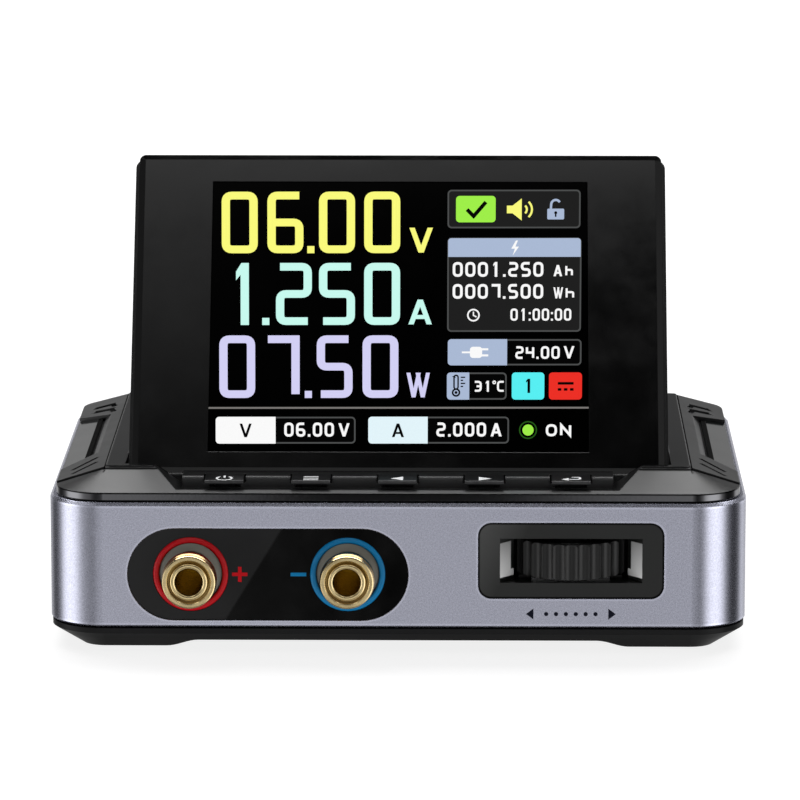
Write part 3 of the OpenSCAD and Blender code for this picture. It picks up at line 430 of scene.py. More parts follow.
def lid_plastic(color):
    """Satin moulding with a mirror-black rim, painted shade along the rim's upper and lower edges, a smoother
    flat top and painted shade in a seam beside it.
    """
    f = Finish("lid_plastic", color, 0.3).eased(0.3 * MM).set(IOR=1.36)
    low, high = node_box("top_cover")
    middle = (low.y + high.y) / 2
    half = high.y - middle
    rim_top = high.z - 2.8 * MM
    above = f.step("Z", rim_top)
    flat = f.step("Z", high.z - 0.12 * MM)
    # The rim is the upright face below there, along the front, the back, both sides and round the corners
    ends = f.step("Y", half - 0.88 * MM, about=middle)
    sides = f.step("X", high.x - 0.3 * MM, about=0)
    corners = f.times(f.step("X", high.x - 5 * MM, about=0), f.step("Y", half - 9.5 * MM, about=middle))
    rim = f.times(f.minus(1, above), f.most(ends, sides, corners))
    # The seam runs along both sides of the flat top, painted black as painted shade
    seam = high.x - 7.6 * MM
    line = f.minus(f.step("X", seam, about=0), f.step("X", seam + 0.3 * MM, about=0))
    line = f.times(line, above, f.minus(1, flat), f.before("Y", half - 7.6 * MM, about=middle))
    # The bar between the keys and the recess in front of it are paler, between the recess's leaning ends
    bar = f.times(f.step("Y", low.y + 1.6 * MM), f.before("Y", low.y + 5.2 * MM),
                  f.before("Z", high.z - 1.1 * MM))
    end = 2.5 * (node_box("right_key")[0].x - node_box("left_key")[0].x)
    rise = f.minus(f.split("Z"), high.z - 3 * MM)
    reach = f.minus(f.away("X"), f.times(rise, 1.55))
    bar = f.times(bar, f.ranged(reach, 1, 0, end - 0.4 * MM, end - 0.2 * MM))
    look = f.mixed(bar, f.clouded(140, 0.12), (0.038, 0.038, 0.039))
    look = f.mixed(rim, look, (0.2, 0.2, 0.212))
    # Painted shade: dark lines along the rim's upper and lower edges
    edges = f.plus(f.step("Z", rim_top - 0.22 * MM), f.before("Z", rim_top - 1.12 * MM))
    look = f.mixed(f.times(rim, edges), look, (0.01, 0.01, 0.01))
    f.set(Base_Color=f.mixed(line, look, BLACK), Metallic=f.most(rim, line))
    handled = f.ranged(f.noise(90, 4.0, 0.6), 0.27, 0.34)
    satin = f.times(f.minus(1, rim), f.minus(1.35, flat))
    rough = f.times(handled, f.plus(0.15, f.times(0.65, satin)))
    f.set(Roughness=f.most(rough, line))
    f.grained(0.15, distance=0.01 * MM)
    return f.material


def gloss_plastic(name, color, roughness, ior=1.4):
    """Polished plastic, faintly wavy."""
    f = Finish(name, color, roughness).eased(0.1 * MM).set(IOR=ior)
    f.mottled(220, 0.06).smudged(120, roughness - 0.03, roughness + 0.05)
    f.bumped(f.noise(35, 1.0, 0.4), 0.03, 0.3 * MM)
    return f.material


def inlay_plastic(color):
    """Gloss of the side strips, with painted shade along the inner edge: black, matt and metallic there."""
    f = Finish("inlay_gloss", color, 0.09).eased(0.1 * MM).set(IOR=1.33)
    # Painted shade: the inner edge is made black, rough and metallic
    inner_edge_shade = f.before("X", node_box("side_inlays")[1].x - 3.25 * MM, about=0)
    handled = f.ranged(f.noise(120, 4.0, 0.6), 0.06, 0.14)
    f.set(Base_Color=f.mixed(inner_edge_shade, color, BLACK), Metallic=inner_edge_shade, Roughness=f.most(handled, inner_edge_shade))
    f.bumped(f.noise(35, 1.0, 0.4), 0.03, 0.3 * MM)
    return f.material


def ring_enamel(name, color, node):
    """Deep clear colour on a crowned ring, darker along its inner and its outer edge."""
    f = Finish(name, color, 0.25).set(IOR=1.3)
    radius = f.radius(node)
    inner = f.ranged(radius, 0.9, 0, 4.84 * MM, 5.02 * MM)
    outer = f.ranged(radius, 0, 0.54, 5.72 * MM, 5.8 * MM)
    wear_and_highlight = f.ranged(f.noise(220, 3.0), 0, 0.15)
    f.set(Base_Color=f.mixed(f.most(inner, outer, wear_and_highlight), color, shade(color, 0.1)))
    f.smudged(120, 0.2, 0.32)
    f.bumped(f.noise(900, 1.0, 0.4), 0.05, 0.02 * MM)
    return f.material


def bezel_with_painted_light_and_shade(color):
    """The wheel's bezel: satin black, paler to the left as a painted reflection, with pale cheeks at both
    ends of its window as painted reflections, and painted shade in the gap round its outline."""
    f = Finish("wheel_bezel_plastic", color, 0.33).eased(0.12 * MM)
    low, high = node_box("wheel_bezel")
    middle, level = (low.x + high.x) / 2, (low.z + high.z) / 2
    # Painted reflection: the face grows paler towards the left on a slant
    lean = f.minus(f.split("X"), f.times(f.split("Z"), 0.5))
    start = low.x - level / 2
    face = f.mixed(f.ranged(lean, 0, 1, start - 2 * MM, start + 6 * MM), (0.056, 0.057, 0.056), color)
    # Painted reflections: pale cheeks at both ends of the window, paler towards the foot
    inside = f.times(f.before("X", 10.96 * MM, about=middle), f.step("Y", low.y + 0.08 * MM, 0.03 * MM))
    wide = f.step("X", 9.2 * MM, about=middle)
    foot = f.times(f.step("X", 8.7 * MM, about=middle), f.before("Z", level - 1.7 * MM))
    height = f.times(f.before("Z", level + 2.65 * MM), f.step("Z", level - 2.75 * MM))
    pale = f.ranged(f.split("Z"), 0.9, 0.35, level - 2.8 * MM, level + 2.8 * MM)
    face = f.mixed(f.times(inside, f.most(wide, foot), height, pale), face, (0.92, 0.92, 0.92))
    # Painted shade: black in the gap round the bezel's outline
    gap = f.ranged(f.beyond("wheel_bezel", BEZEL_CORNER), 0, 0.85, -0.36 * MM, -0.22 * MM)
    f.set(Base_Color=f.mixed(gap, face, BLACK), Metallic=gap)
    f.smudged(90, 0.28, 0.40).grained()
    return f.material


def turned_brass(name, color, node):
    """Turned and waxed brass, with painted shade behind its face, and darker down the bore and in the face's
    groove as tarnish and painted shade.
    """
    f = Finish(name, color, 0.2, 1.0).eased(0.1 * MM)
    face = node_box(node)[0].y
    radius = f.radius(node)
    # Tarnish and painted shade: darker brown down the bore and in the face's groove
    inside = f.ranged(radius, 1, 0, 2.12 * MM, 2.26 * MM)
    bore = f.times(inside, f.ranged(f.split("Y"), 0, 1, face + 0.2 * MM, face + 1 * MM))
    groove = f.times(f.ranged(radius, 0.6, 0, 3.1 * MM, 3.3 * MM),
                     f.ranged(f.split("Y"), 0, 1, face + 0.45 * MM, face + 0.9 * MM))
    # Painted shade on the barrel behind the face, which dims its highlight
    behind = f.ranged(f.split("Y"), 0, 0.85, face + 0.3 * MM, face + 0.9 * MM)
    brass_shaded_behind = f.mixed(f.times(behind, f.minus(1, inside)), f.clouded(420, 0.08), (0.30, 0.20, 0.09))
    f.set(Base_Color=f.mixed(f.most(bore, groove), brass_shaded_behind, (0.34, 0.20, 0.014)))
    f.smudged(260, 0.14, 0.26)
    f.bumped(f.noise(7000, 2.0, 0.6, (0.03, 1, 0.03)), 0.3, 0.01 * MM)
    return f.material


def brushed_metal(name, color, roughness=0.3, stretch=(0.05, 1, 1)):
    """Metal with a fine lay of brush marks."""
    f = Finish(name, color, roughness, 1.0).eased(0.05 * MM)
    f.mottled(300, 0.08).smudged(200, roughness - 0.07, roughness + 0.08)
    f.bumped(f.noise(5000, 2.0, 0.6, stretch), 0.3, 0.01 * MM)
    return f.material


def soft_rubber():
    """Dull black rubber."""
    f = Finish("soft_rubber", (0.018, 0.018, 0.018), 0.75)
    f.mottled(400, 0.2).smudged(300, 0.68, 0.85)
    f.bumped(f.noise(2200, 3.0, 0.6), 0.5, 0.03 * MM)
    return f.material


def circuit_laminate():
    """Green lacquered board."""
    f = Finish("circuit_laminate", (0.012, 0.07, 0.035), 0.32)
    f.set(Coat_Weight=0.4, Coat_Roughness=0.15)
    f.mottled(500, 0.25).bumped(f.noise(1500, 2.0, 0.5), 0.3, 0.02 * MM)
    return f.material


def panel_with_painted_reflection(left, right):
    """Gloss black of the socket panel, with a painted reflection: a paler left part and a darker right part,
    cut on a slant.
    """
    f = Finish("socket_panel_painted_reflection", right, 0.09).eased(0.1 * MM).set(IOR=1.36)
    # Painted reflection: the paler left part ends on a slanted line
    lean = f.minus(f.split("X"), f.times(f.split("Z"), 0.61))
    cut = node_box("socket_panel")[0].x + 12.175 * MM
    f.set(Base_Color=f.mixed(f.ranged(lean, 0, 1, cut, cut + 0.45 * MM), left, right))
    f.smudged(120, 0.07, 0.13)
    return f.material


def print_ink(name, color):
    """Thin opaque print."""
    f = Finish(name, color, 0.45).set(IOR=1.2)
    f.mottled(1800, 0.10).smudged(900, 0.39, 0.53)
    return f.material


def lit_pixels(name, color, strength):
    """Colour of a lit part of the display, finely uneven like a field of pixels."""
    f = Finish(name, shade(color, 0.03), 0.2).set(Emission_Strength=strength, IOR=1.08)
    f.set(Emission_Color=f.mixed(f.ranged(f.noise(5200, 0.0), 0, 1, 0.2, 0.8), shade(color, 0.97), color))
    return f.material


class SupplySettings(bpy.types.PropertyGroup):
    """Colours, lift of the prints, brightness and the camera's place"""
    case_color: bpy.props.FloatVectorProperty(
        name="Band colour", description="Colour of the anodised aluminium band", subtype="COLOR",
        default=(0.56, 0.57, 0.68), min=0, max=1)
    plastic_color: bpy.props.FloatVectorProperty(
        name="Cover colour", description="Colour of the lid, base and flap", subtype="COLOR",
        default=(0.007, 0.007, 0.0075), min=0, max=1)
    positive_color: bpy.props.FloatVectorProperty(
        name="Positive colour", description="Colour of the positive socket's ring and sign", subtype="COLOR",
        default=(0.56, 0.003, 0.009), min=0, max=1)
    negative_color: bpy.props.FloatVectorProperty(
        name="Negative colour", description="Colour of the negative socket's ring and sign", subtype="COLOR",
        default=(0.003, 0.22, 0.50), min=0, max=1)
    brass_color: bpy.props.FloatVectorProperty(
        name="Socket colour", description="Colour of the turned brass", subtype="COLOR",
        default=(0.86, 0.68, 0.36), min=0, max=1)
    print_lift: bpy.props.FloatProperty(
        name="Print lift", description="How far a print lies above its surface", unit="LENGTH",
        default=0.00003, min=0.00001, max=0.0002, precision=5)
    display_glow: bpy.props.FloatProperty(
        name="Display glow", description="Brightness of the display picture", default=0.95, min=0, max=5)
    camera_distance: bpy.props.FloatProperty(
        name="Camera distance", description="Distance from the camera to the object's front", unit="LENGTH",
        default=0.8807, min=0.3, max=3)
    camera_elevation: bpy.props.FloatProperty(
        name="Camera elevation", description="Height of the view above the horizon", subtype="ANGLE",
        default=math.radians(11.791), min=0, max=1.5)
    camera_turn: bpy.props.FloatProperty(
        name="Camera turn", description="How far the camera stands to the right of the middle",
        subtype="ANGLE", default=math.radians(0.712), min=-3.2, max=3.2)
    light_power: bpy.props.FloatProperty(
        name="Light power", description="Factor on all the studio lights", default=1.0, min=0.1, max=10)


def settings():
    """The values that a user can change."""
    return bpy.context.scene.supply_settings


def dress(material, *nodes):
    """Gives the CAD nodes that finish."""
    for name in nodes:
        thing = frame["nodes"][name]
        thing.data.materials.clear()
        thing.data.materials.append(material)


class SUPPLY_OT_case(bpy.types.Operator):
    """Gives the band, the covers and their inlays their finishes"""
    bl_idname = "supply.case"
    bl_label = "Case"

    def execute(self, context):
        s = settings()
        plastic = tuple(s.plastic_color)
        dress(anodised_aluminium(tuple(s.case_color)), "frame_band")
        dress(lid_plastic(plastic), "top_cover")
        dress(satin_plastic("rear_plastic", plastic, 0.32), "rear_panel")
        dress(base_plastic(shade(plastic, 0.35)), "bottom_cover")
        dress(inlay_plastic((0.004, 0.005, 0.005)), "side_inlays")
        dress(soft_rubber(), "rubber_feet")
        dress(brushed_metal("blackened_steel", (0.10, 0.10, 0.11), 0.35), "case_screws", "display_screws")
        return {"FINISHED"}


class SUPPLY_OT_sockets(bpy.types.Operator):
    """Finishes the socket panel, its rings and its brass sockets, and prints the two signs"""
    bl_idname = "supply.sockets"
    bl_label = "Output sockets"

    def execute(self, context):
        s = settings()
        red, blue = tuple(s.positive_color), tuple(s.negative_color)
        # The first, paler colour is a painted reflection on the panel's left part
        dress(panel_with_painted_reflection((0.016, 0.016, 0.0165), (0.0012, 0.0012, 0.0012)), "socket_panel")
        dress(ring_enamel("positive_red", red, "positive_ring"), "positive_ring")
        dress(ring_enamel("negative_blue", blue, "negative_ring"), "negative_ring")
        dress(satin_plastic("bush_plastic", (0.28, 0.28, 0.25), 0.35), "socket_bushes")
        for name in ("positive_socket", "negative_socket"):
            dress(turned_brass(name + "_brass", tuple(s.brass_color), name), name)
        dress(brushed_metal("plated_steel", (0.62, 0.62, 0.63)), "socket_nuts", "socket_lugs")
        front = node_box("socket_panel")[0].y - s.print_lift
        level = node_middle("positive_socket").z
        plus_x, minus_x = -24.09, -15.12
        thin, plus_reach, minus_reach = 0.28, 1.18, 1.2

        def place(x, z, extra):
            return (x * MM, front - extra, level + z * MM)

        sign = Sheet(place)
        sign.polygon(oblong(plus_x - plus_reach, -thin, plus_x + plus_reach, thin))
        sign.polygon(oblong(plus_x - thin, -plus_reach, plus_x + thin, -thin))
        sign.polygon(oblong(plus_x - thin, thin, plus_x + thin, plus_reach))
        sign.build("positive_sign", print_ink("red_ink", red), "housing", "red_plastic")
        sign = Sheet(place)
        sign.polygon(oblong(minus_x - minus_reach, -thin, minus_x + minus_reach, thin))
        sign.build("negative_sign", print_ink("blue_ink", blue), "housing", "blue_plastic")
        return {"FINISHED"}


class SUPPLY_OT_wheel(bpy.types.Operator):
    """Finishes the thumb wheel and its bezel, and prints the turning marks below it"""
    bl_idname = "supply.wheel"
    bl_label = "Thumb wheel"

    def execute(self, context):
        s = settings()
        dress(bezel_with_painted_light_and_shade((0.004, 0.0045, 0.004)), "wheel_bezel")
        dress(satin_plastic("wheel_plastic", (0.010, 0.010, 0.010), 0.34, 1800), "thumb_wheel")
        dress(brushed_metal("wheel_steel", (0.6, 0.6, 0.61)), "wheel_pin", "wheel_slider")
        dress(satin_plastic("encoder_plastic", (0.02, 0.02, 0.02)), "encoder_base", "press_switch")
        band = node_box("frame_band")[0]
        front, level = band.y - s.print_lift, band.z + 2.35 * MM
        middle = node_middle("thumb_wheel").x
        marks = Sheet(lambda x, z, extra: (middle + x * MM, front - extra, level + z * MM))
        tip, base, spread = 6.85, 5.73, 0.86
        for side in (-1, 1):
            marks.polygon([(side * tip, 0), (side * base, spread), (side * base, -spread)])
        dots, pitch, dot_radius = 6, 1.51, 0.325
        for i in range(dots):
            marks.polygon(arc((i - (dots - 1) / 2) * pitch, 0, dot_radius, 0, 345, 15))
        marks.build("turning_marks", print_ink("navy_ink", (0.004, 0.005, 0.014)), "housing", "black_plastic")
        return {"FINISHED"}


class SUPPLY_OT_keys(bpy.types.Operator):
    """Finishes the keys and prints an icon on each"""
    bl_idname = "supply.keys"
    bl_label = "Keys"

    def execute(self, context):
        s = settings()
        plastic = key_plastic((0.004, 0.004, 0.0045))
        ink = print_ink("icon_ink", (0.9, 0.91, 0.93))
        wide, deep = 1.2 * MM, 1.45 * MM
        for name in KEYS:
            dress(plastic, name + "_key")
            low, high = node_box(name + "_key")
            middle = Vector(((low.x + high.x) / 2, low.y + 1.7 * MM, high.z + s.print_lift))
            icon = Sheet(lambda x, y, extra: middle + Vector((x * wide, y * deep, extra)))
            self.draw_icon(icon, name)
            icon.build(name + "_icon", ink, name + "_key", "white_plastic")
        return {"FINISHED"}

    def draw_icon(self, icon, name):
        """A sign about one unit to each side of its middle: power, menu, an arrow or return."""
        if name == "power":
            icon.ribbon(arc(0, -0.1, 0.95, 125, 415, 20), 0.28)
            icon.polygon(oblong(-0.14, 0.2, 0.14, 1.25))
        elif name == "memory":
            for y in (-0.8, 0, 0.8):
                icon.polygon(oblong(-0.95, y - 0.16, 0.95, y + 0.16))
        elif name == "left":
            icon.polygon([(-0.95, 0), (0.7, -0.95), (0.7, 0.95)])
        elif name == "right":
            icon.polygon([(0.95, 0), (-0.7, 0.95), (-0.7, -0.95)])
        else:
            icon.polygon([(-1.25, -0.25), (-0.3, -0.95), (-0.3, 0.45)])
            icon.ribbon(softened([(-0.35, -0.25), (1.15, -0.25), (1.15, 0.85), (0.1, 0.85)], 0.35), 0.3)


# Strokes of the display's figures, in a cell one wide and one high, y down, each with whether it is closed
ROUND = [([(0, 0), (1, 0), (1, 1), (0, 1)], True)]
STROKES = {
    "0": ROUND,
    "2": [([(0, 0), (1, 0), (1, 0.5), (0, 0.5), (0, 1), (1, 1)], False)],
    "3": [([(0, 0), (1, 0), (1, 1), (0, 1)], False), ([(0.3, 0.5), (1, 0.5)], False)],
    "4": [([(0, 0), (0, 0.5), (1, 0.5)], False), ([(1, 0), (1, 1)], False)],
    "5": [([(1, 0), (0, 0), (0, 0.5), (1, 0.5), (1, 1), (0, 1)], False)],
    "6": [([(1, 0), (0, 0), (0, 1), (1, 1), (1, 0.5), (0, 0.5)], False)],
    "7": [([(0, 0), (1, 0), (1, 1)], False)],
    "h": [([(0, 0), (0, 1)], False), ([(0, 0.42), (0.85, 0.42), (0.85, 1)], False)],
    "C": [([(1, 0), (0, 0), (0, 1), (1, 1)], False)],
    "O": ROUND,
    "N": [([(0, 1), (0, 0), (1, 1), (1, 0)], False)],
}
SHARP = "N47"

# The display's picture on the flap, in millimetres
PICTURE_WIDTH = 58.9
PICTURE_HEIGHT = 45.4
PICTURE_FOOT = 3.5  # from the hinge's axis up the flap to the picture's lower edge
PICTURE_LEVEL = 4.18  # from the hinge's axis out to the display's glass

# The picture's layers, in steps above the glass
LAYER = 0.01 * MM
EDGE, BOX, PAD, SIGN, TEXT = 0.5, 1, 2, 3, 4

# The picture is laid out on a grid of its own, with y down, whose edges aren't quite square to each other
GRID_TOP = 45
GRID_HEIGHT = 1060
GRID_LEFT = (55, 30)  # at the top and at the foot
GRID_RIGHT = (1518, 1533)
GRID_NARROWING = 1460 / 1500  # scale at the top against the scale at the foot
GRID_SLOPE = 0.0041  # how much the upper edge drops to the right

# Type of the picture: a cell's width and height, the strokes' width, the gap between cells and the roundness
# of the strokes' turns
TYPE = {
    "reading": (141, 243, 32.5, 0, 0.75), "reading unit": (92, 97, 18.5, 0, 0.75),
    "counter": (39.5, 58, 10.2, 9.8, 1.9), "clock": (29, 48, 8, 7, 1.9),
    "charge unit": (34, 44, 8, 12, 0.75), "energy unit": (38, 44, 8, 10, 0.75),
    "input": (33, 50, 8.8, 8.5, 1.9), "input unit": (42, 48, 8.5, 0, 0.75),
    "warmth": (31, 43, 8, 7, 1.9), "degrees": (30, 43, 7.5, 5, 1.9), "memory": (46, 56, 10.5, 0, 0.75),
    "set label": (48, 54, 9.5, 0, 0.75), "set value": (37, 56, 10, 9.5, 1.9),
    "set unit": (44, 52, 9.5, 0, 0.75), "state": (44, 48, 9.5, 12, 1.9),
}
UPPER_CORNERS, LEFT_CORNERS = (1, 1, 0, 0), (1, 0, 0, 1)
PAD_CORNER = 14

INKS = {
    "yellow": (1.0, 1.0, 0.21), "ice": (0.60, 1.0, 0.90), "lavender": (0.68, 0.66, 0.95),
    "white": (1.0, 1.0, 1.0), "panel": (0.014, 0.014, 0.014), "edge": (0.075, 0.078, 0.078),
    "steel": (0.42, 0.51, 0.69), "green": (0.36, 0.90, 0.07), "cyan": (0.10, 0.90, 0.93),
    "red": (0.88, 0.03, 0.02), "black": (0.001, 0.001, 0.001), "pale": (0.80, 0.95, 1.0),
    "line": (0.20, 0.19, 0.18), "dim": (0.02, 0.10, 0.01),
}


def on_picture(x, y):
    """Where a point of the grid lies on the picture, as shares of its width and its height."""
    down = (y - GRID_TOP) / GRID_HEIGHT
    left, right = (top + (foot - top) * down for top, foot in (GRID_LEFT, GRID_RIGHT))
    across = (x - left) / (right - left)
    return across, down / (down + GRID_NARROWING * (1 - down)) - GRID_SLOPE * across


def picture_place(x, y, extra):
    """Where a point of the grid lies on the raised flap, in metres."""
    across, down = on_picture(x, y)
    up = Vector((0, math.cos(FLAP_LEAN), math.sin(FLAP_LEAN)))
    out = Vector((0, -math.sin(FLAP_LEAN), math.cos(FLAP_LEAN)))
    side = Vector(((across - 0.5) * PICTURE_WIDTH * MM, 0, 0))
    rise = (PICTURE_FOOT + PICTURE_HEIGHT * (1 - down)) * MM
    return HINGE + side + up * rise + out * (PICTURE_LEVEL * MM + extra)


class SUPPLY_OT_display(bpy.types.Operator):
    """Finishes the flap and the boards, and draws the picture that the display shows"""
    bl_idname = "supply.display"
    bl_label = "Display"

    def execute(self, context):
        s = settings()
        dress(satin_plastic("flap_plastic", tuple(s.plastic_color), 0.3, edge=0.6 * MM), "display_shell")
        dress(gloss_plastic("bezel_gloss", (0.0012, 0.0012, 0.0013), 0.07), "display_bezel")
        dress(gloss_plastic("screen_gloss", (0.0003, 0.0003, 0.0003), 0.05, 1.08), "lcd_cell")
        dress(satin_plastic("diffuser_white", (0.7, 0.7, 0.68), 0.4), "lcd_backlight")
        dress(circuit_laminate(), "display_board", "main_board", "key_board")
        self.layers = {ink: Sheet(picture_place) for ink in INKS}
        self.figures()
        self.status()
        self.energy()
        self.input_row()
        self.badges()
        self.bottom_row()
        for ink, color in INKS.items():
            pixels = lit_pixels("pixels_" + ink, color, s.display_glow)
            self.layers[ink].build("picture_" + ink, pixels, "display_flap", "screen_glass")
        return {"FINISHED"}

    def fill(self, ink, outline, layer):
        """A flat shape in that ink."""
        self.layers[ink].polygon(outline, layer * LAYER)

    def stroke(self, ink, path, width, closed=False, tall=None, layer=SIGN):
        """A stroke in that ink."""
        self.layers[ink].ribbon(path, width, closed, tall, layer * LAYER)

    def write(self, ink, text, x, y, kind, height=None, tall=None):
        """Draws text from x, with its upper edge at y. A height takes the place of the kind's own, and tall
        is the strokes' thickness where they run sideways."""
        width, usual_height, weight, gap, bend = TYPE[kind]
        height = height or usual_height
        for mark in text:
            if mark in ".:":
                tops = [y + height - weight] + ([y + height * 0.3] if mark == ":" else [])
                for top in tops:
                    self.fill(ink, oblong(x, top, x + weight, top + weight), TEXT)
                x += weight + gap
            elif mark == "*":
                degree = arc(x + width * 0.2, y + width * 0.2, width * 0.17, 0, 330, 11)
                self.stroke(ink, degree, weight * 0.6, True, layer=TEXT)
                x += width * 0.5 + gap * 0.4
            else:
                if mark == "1":
                    self.one(ink, x + width * 0.68, y, height, weight)
                elif mark in "VAW":
                    self.slanted(ink, mark, x, y, width, height, weight)
                else:
                    self.stroked(ink, mark, x, y, width, height, weight, tall or weight, bend)
                x += width + gap
        return x

    def one(self, ink, stem, y, height, weight):
        """A 1 with its stem's right edge at that place."""
        left, flag = stem - weight, stem - weight * 1.55
        foot = y + height
        outline = [(stem - weight * 0.9, y), (stem, y), (stem, foot), (left, foot),
                   (left, y + height * 0.19), (flag, y + height * 0.28), (flag, y + height * 0.14)]
        self.fill(ink, outline, TEXT)

    def stroked(self, ink, mark, x, y, width, height, weight, tall, bend):
        """A mark made of strokes of even width."""
        inner_width, inner_height = width - weight, height - tall
        for path, closed in STROKES[mark]:
            points = [(x + weight / 2 + u * inner_width, y + tall / 2 + v * inner_height) for u, v in path]
            if mark not in SHARP:
                points = softened(points, min(weight * bend, inner_width * 0.48), closed)
            self.stroke(ink, points, weight, closed, tall, TEXT)

    def slanted(self, ink, mark, x, y, width, height, weight):
        """V, A or W with strokes cut level at both ends."""
        part = width / 2 + weight * 0.55 if mark == "W" else width
        thick = weight * (0.82 if mark == "W" else 1.12)
        notch = height * (part / 2 - thick) / (part / 2 - thick / 2)
        corners = [(0, 0), (thick, 0), (part / 2, notch), (part - thick, 0), (part, 0),
                   ((part + thick) / 2, height), ((part - thick) / 2, height)]
        for left in (x, x + width - part) if mark == "W" else (x,):
            self.fill(ink, [(left + u, y + (height - v if mark == "A" else v)) for u, v in corners], TEXT)
        if mark == "A":
            middle, lean = x + part / 2, (part - thick) / 2 / height
            low, high = height * 0.62, height * 0.62 + weight * 0.85
            self.fill(ink, [(middle - lean * low, y + low), (middle + lean * low, y + low),
                            (middle + lean * high, y + high), (middle - lean * high, y + high)], TEXT)

    def figures(self):
        """The three large readings and their units."""
        point, tall = 28, 30
        rows = ((85, 240, "yellow", "06.00", (88, 267, 423, 469, 646)),
                (363, 243, "ice", "1.250", (98, 246, 300, 469, 646)),
                (647, 246, "lavender", "07.50", (77, 252, 413, 460, 640)))
        for y, height, ink, text, spots in rows:
            low = y + height
            for mark, at in zip(text, spots):
                if mark == ".":
                    self.fill(ink, oblong(at, low - point, at + point, low), SIGN)
                else:
                    self.write(ink, mark, at, y, "reading", height, tall)
        units = (("yellow", "V", 823, 226), ("ice", "A", 820, 507), ("lavender", "W", 813, 794))
        for ink, mark, x, y in units:
            self.write(ink, mark, x, y, "reading unit")

    def frame_box(self, x0, y0, x1, y1, fill):
        """A box with a thin pale edge."""
        edge, outer, inner = 6, 16, 11
        self.fill("edge", rounded(x0, y0, x1, y1, outer), EDGE)
        self.fill(fill, rounded(x0 + edge, y0 + edge, x1 - edge, y1 - edge, inner), BOX)

    def status(self):
        """Tick, loudspeaker and open lock."""
        self.frame_box(972, 78, 1492, 228, "panel")
        self.fill("green", rounded(1005, 102, 1160, 205, PAD_CORNER), PAD)
        self.stroke("black", [(1048, 155), (1074, 181), (1122, 126)], 15)
        self.fill("yellow", oblong(1204, 140, 1226, 170), PAD)
        self.fill("yellow", [(1226, 140), (1262, 112), (1262, 198), (1226, 170)], PAD)
        for r in (20, 40):
            self.stroke("yellow", arc(1262, 155, r, -48, 48), 8)
        self.fill("steel", rounded(1362, 152, 1428, 194, 5), PAD)
        self.stroke("steel", [(1376, 152)] + arc(1395, 136, 18, 180, 330), 9)
        self.fill("black", arc(1395, 168, 6, 0, 330, 11), SIGN)
        self.fill("black", oblong(1392, 170, 1398, 184), SIGN)

    def energy(self):
        """The counters below their heading's lightning sign, and the clock."""
        self.frame_box(972, 265, 1497, 633, "panel")
        self.fill("steel", rounded(975, 267, 1494, 340, 12, UPPER_CORNERS), PAD)
        self.fill("white", [(1240, 276), (1222, 308), (1236, 308), (1228, 334), (1252, 300), (1238, 300),
                            (1248, 276)], SIGN)
        for text, y in (("0001.250", 360), ("0007.500", 446)):
            self.write("white", text, 993, y, "counter")
        self.write("white", "Ah", 1388, 372, "charge unit")
        self.write("white", "Wh", 1388, 459, "energy unit")
        self.stroke("white", arc(1075, 568, 22, 0, 345, 23), 6, True)
        self.stroke("white", [(1075, 554), (1075, 569), (1087, 575)], 5)
        self.write("white", "01:00:00", 1220, 542, "clock")

    def input_row(self):
        """Plug sign and input voltage."""
        self.frame_box(975, 662, 1500, 765, "black")
        self.fill("steel", rounded(975, 662, 1208, 765, PAD_CORNER, LEFT_CORNERS), PAD)
        self.fill("white", rounded(1062, 692, 1110, 736, 12), SIGN)
        for y in (702, 726):
            self.stroke("white", [(1108, y), (1134, y)], 8)
        self.stroke("white", [(1062, 714), (1030, 714)], 7)
        self.write("white", "24.00", 1240, 690, "input")
        self.write("white", "V", 1430, 690, "input unit")

    def badges(self):
        """Thermometer with its reading, memory number and direct current sign."""
        self.frame_box(972, 793, 1207, 900, "black")
        self.fill("steel", rounded(972, 793, 1060, 900, PAD_CORNER, LEFT_CORNERS), PAD)
        self.stroke("black", [(1006, 860), (1000, 852), (1000, 812)] + arc(1008, 812, 8, 180, 360, 6)
                    + [(1016, 852), (1010, 860)], 6)
        self.fill("black", arc(1008, 872, 17, 0, 345, 15), SIGN)
        self.stroke("steel", arc(1008, 872, 8, 0, 330, 11), 4, True, layer=TEXT)
        for i in range(4):
            self.stroke("black", [(1026, 812 + i * 12), (1044 - 8 * (i % 2), 812 + i * 12)], 5)
        self.write("white", "31", 1078, 826, "warmth")
        self.write("white", "*C", 1152, 826, "degrees")
        self.fill("cyan", rounded(1227, 793, 1355, 900, PAD_CORNER), PAD)
        self.write("black", "1", 1268, 818, "memory")
        self.fill("red", rounded(1373, 793, 1503, 900, PAD_CORNER), PAD)
        self.stroke("black", [(1408, 836), (1470, 836)], 10)
        for x in (1408, 1432, 1456):
            self.stroke("black", [(x, 860), (x + 14, 860)], 10)

    def bottom_row(self):
        """The two set values and the output's state."""
        self.stroke("line", [(32, 932), (1530, 932)], 7)
        for x0, split, x1, ink, unit, text in ((62, 298, 613, "white", "V", "06.00"),
                                               (663, 897, 1217, "pale", "A", "2.000")):
            self.frame_box(x0, 967, x1, 1073, "black")
            self.fill(ink, rounded(x0, 967, split, 1073, PAD_CORNER, LEFT_CORNERS), PAD)
            self.write("black", unit, (x0 + split) / 2 - 24, 994, "set label")
            end = self.write("white", text, split + 34, 990, "set value")
            self.write("white", unit, end + 8, 993, "set unit")
        self.stroke("dim", arc(1292, 1020, 33, 0, 348, 29), 5, True)
        self.fill("green", arc(1292, 1020, 22, 0, 348, 29), PAD)
        self.write("white", "ON", 1362, 997, "state")


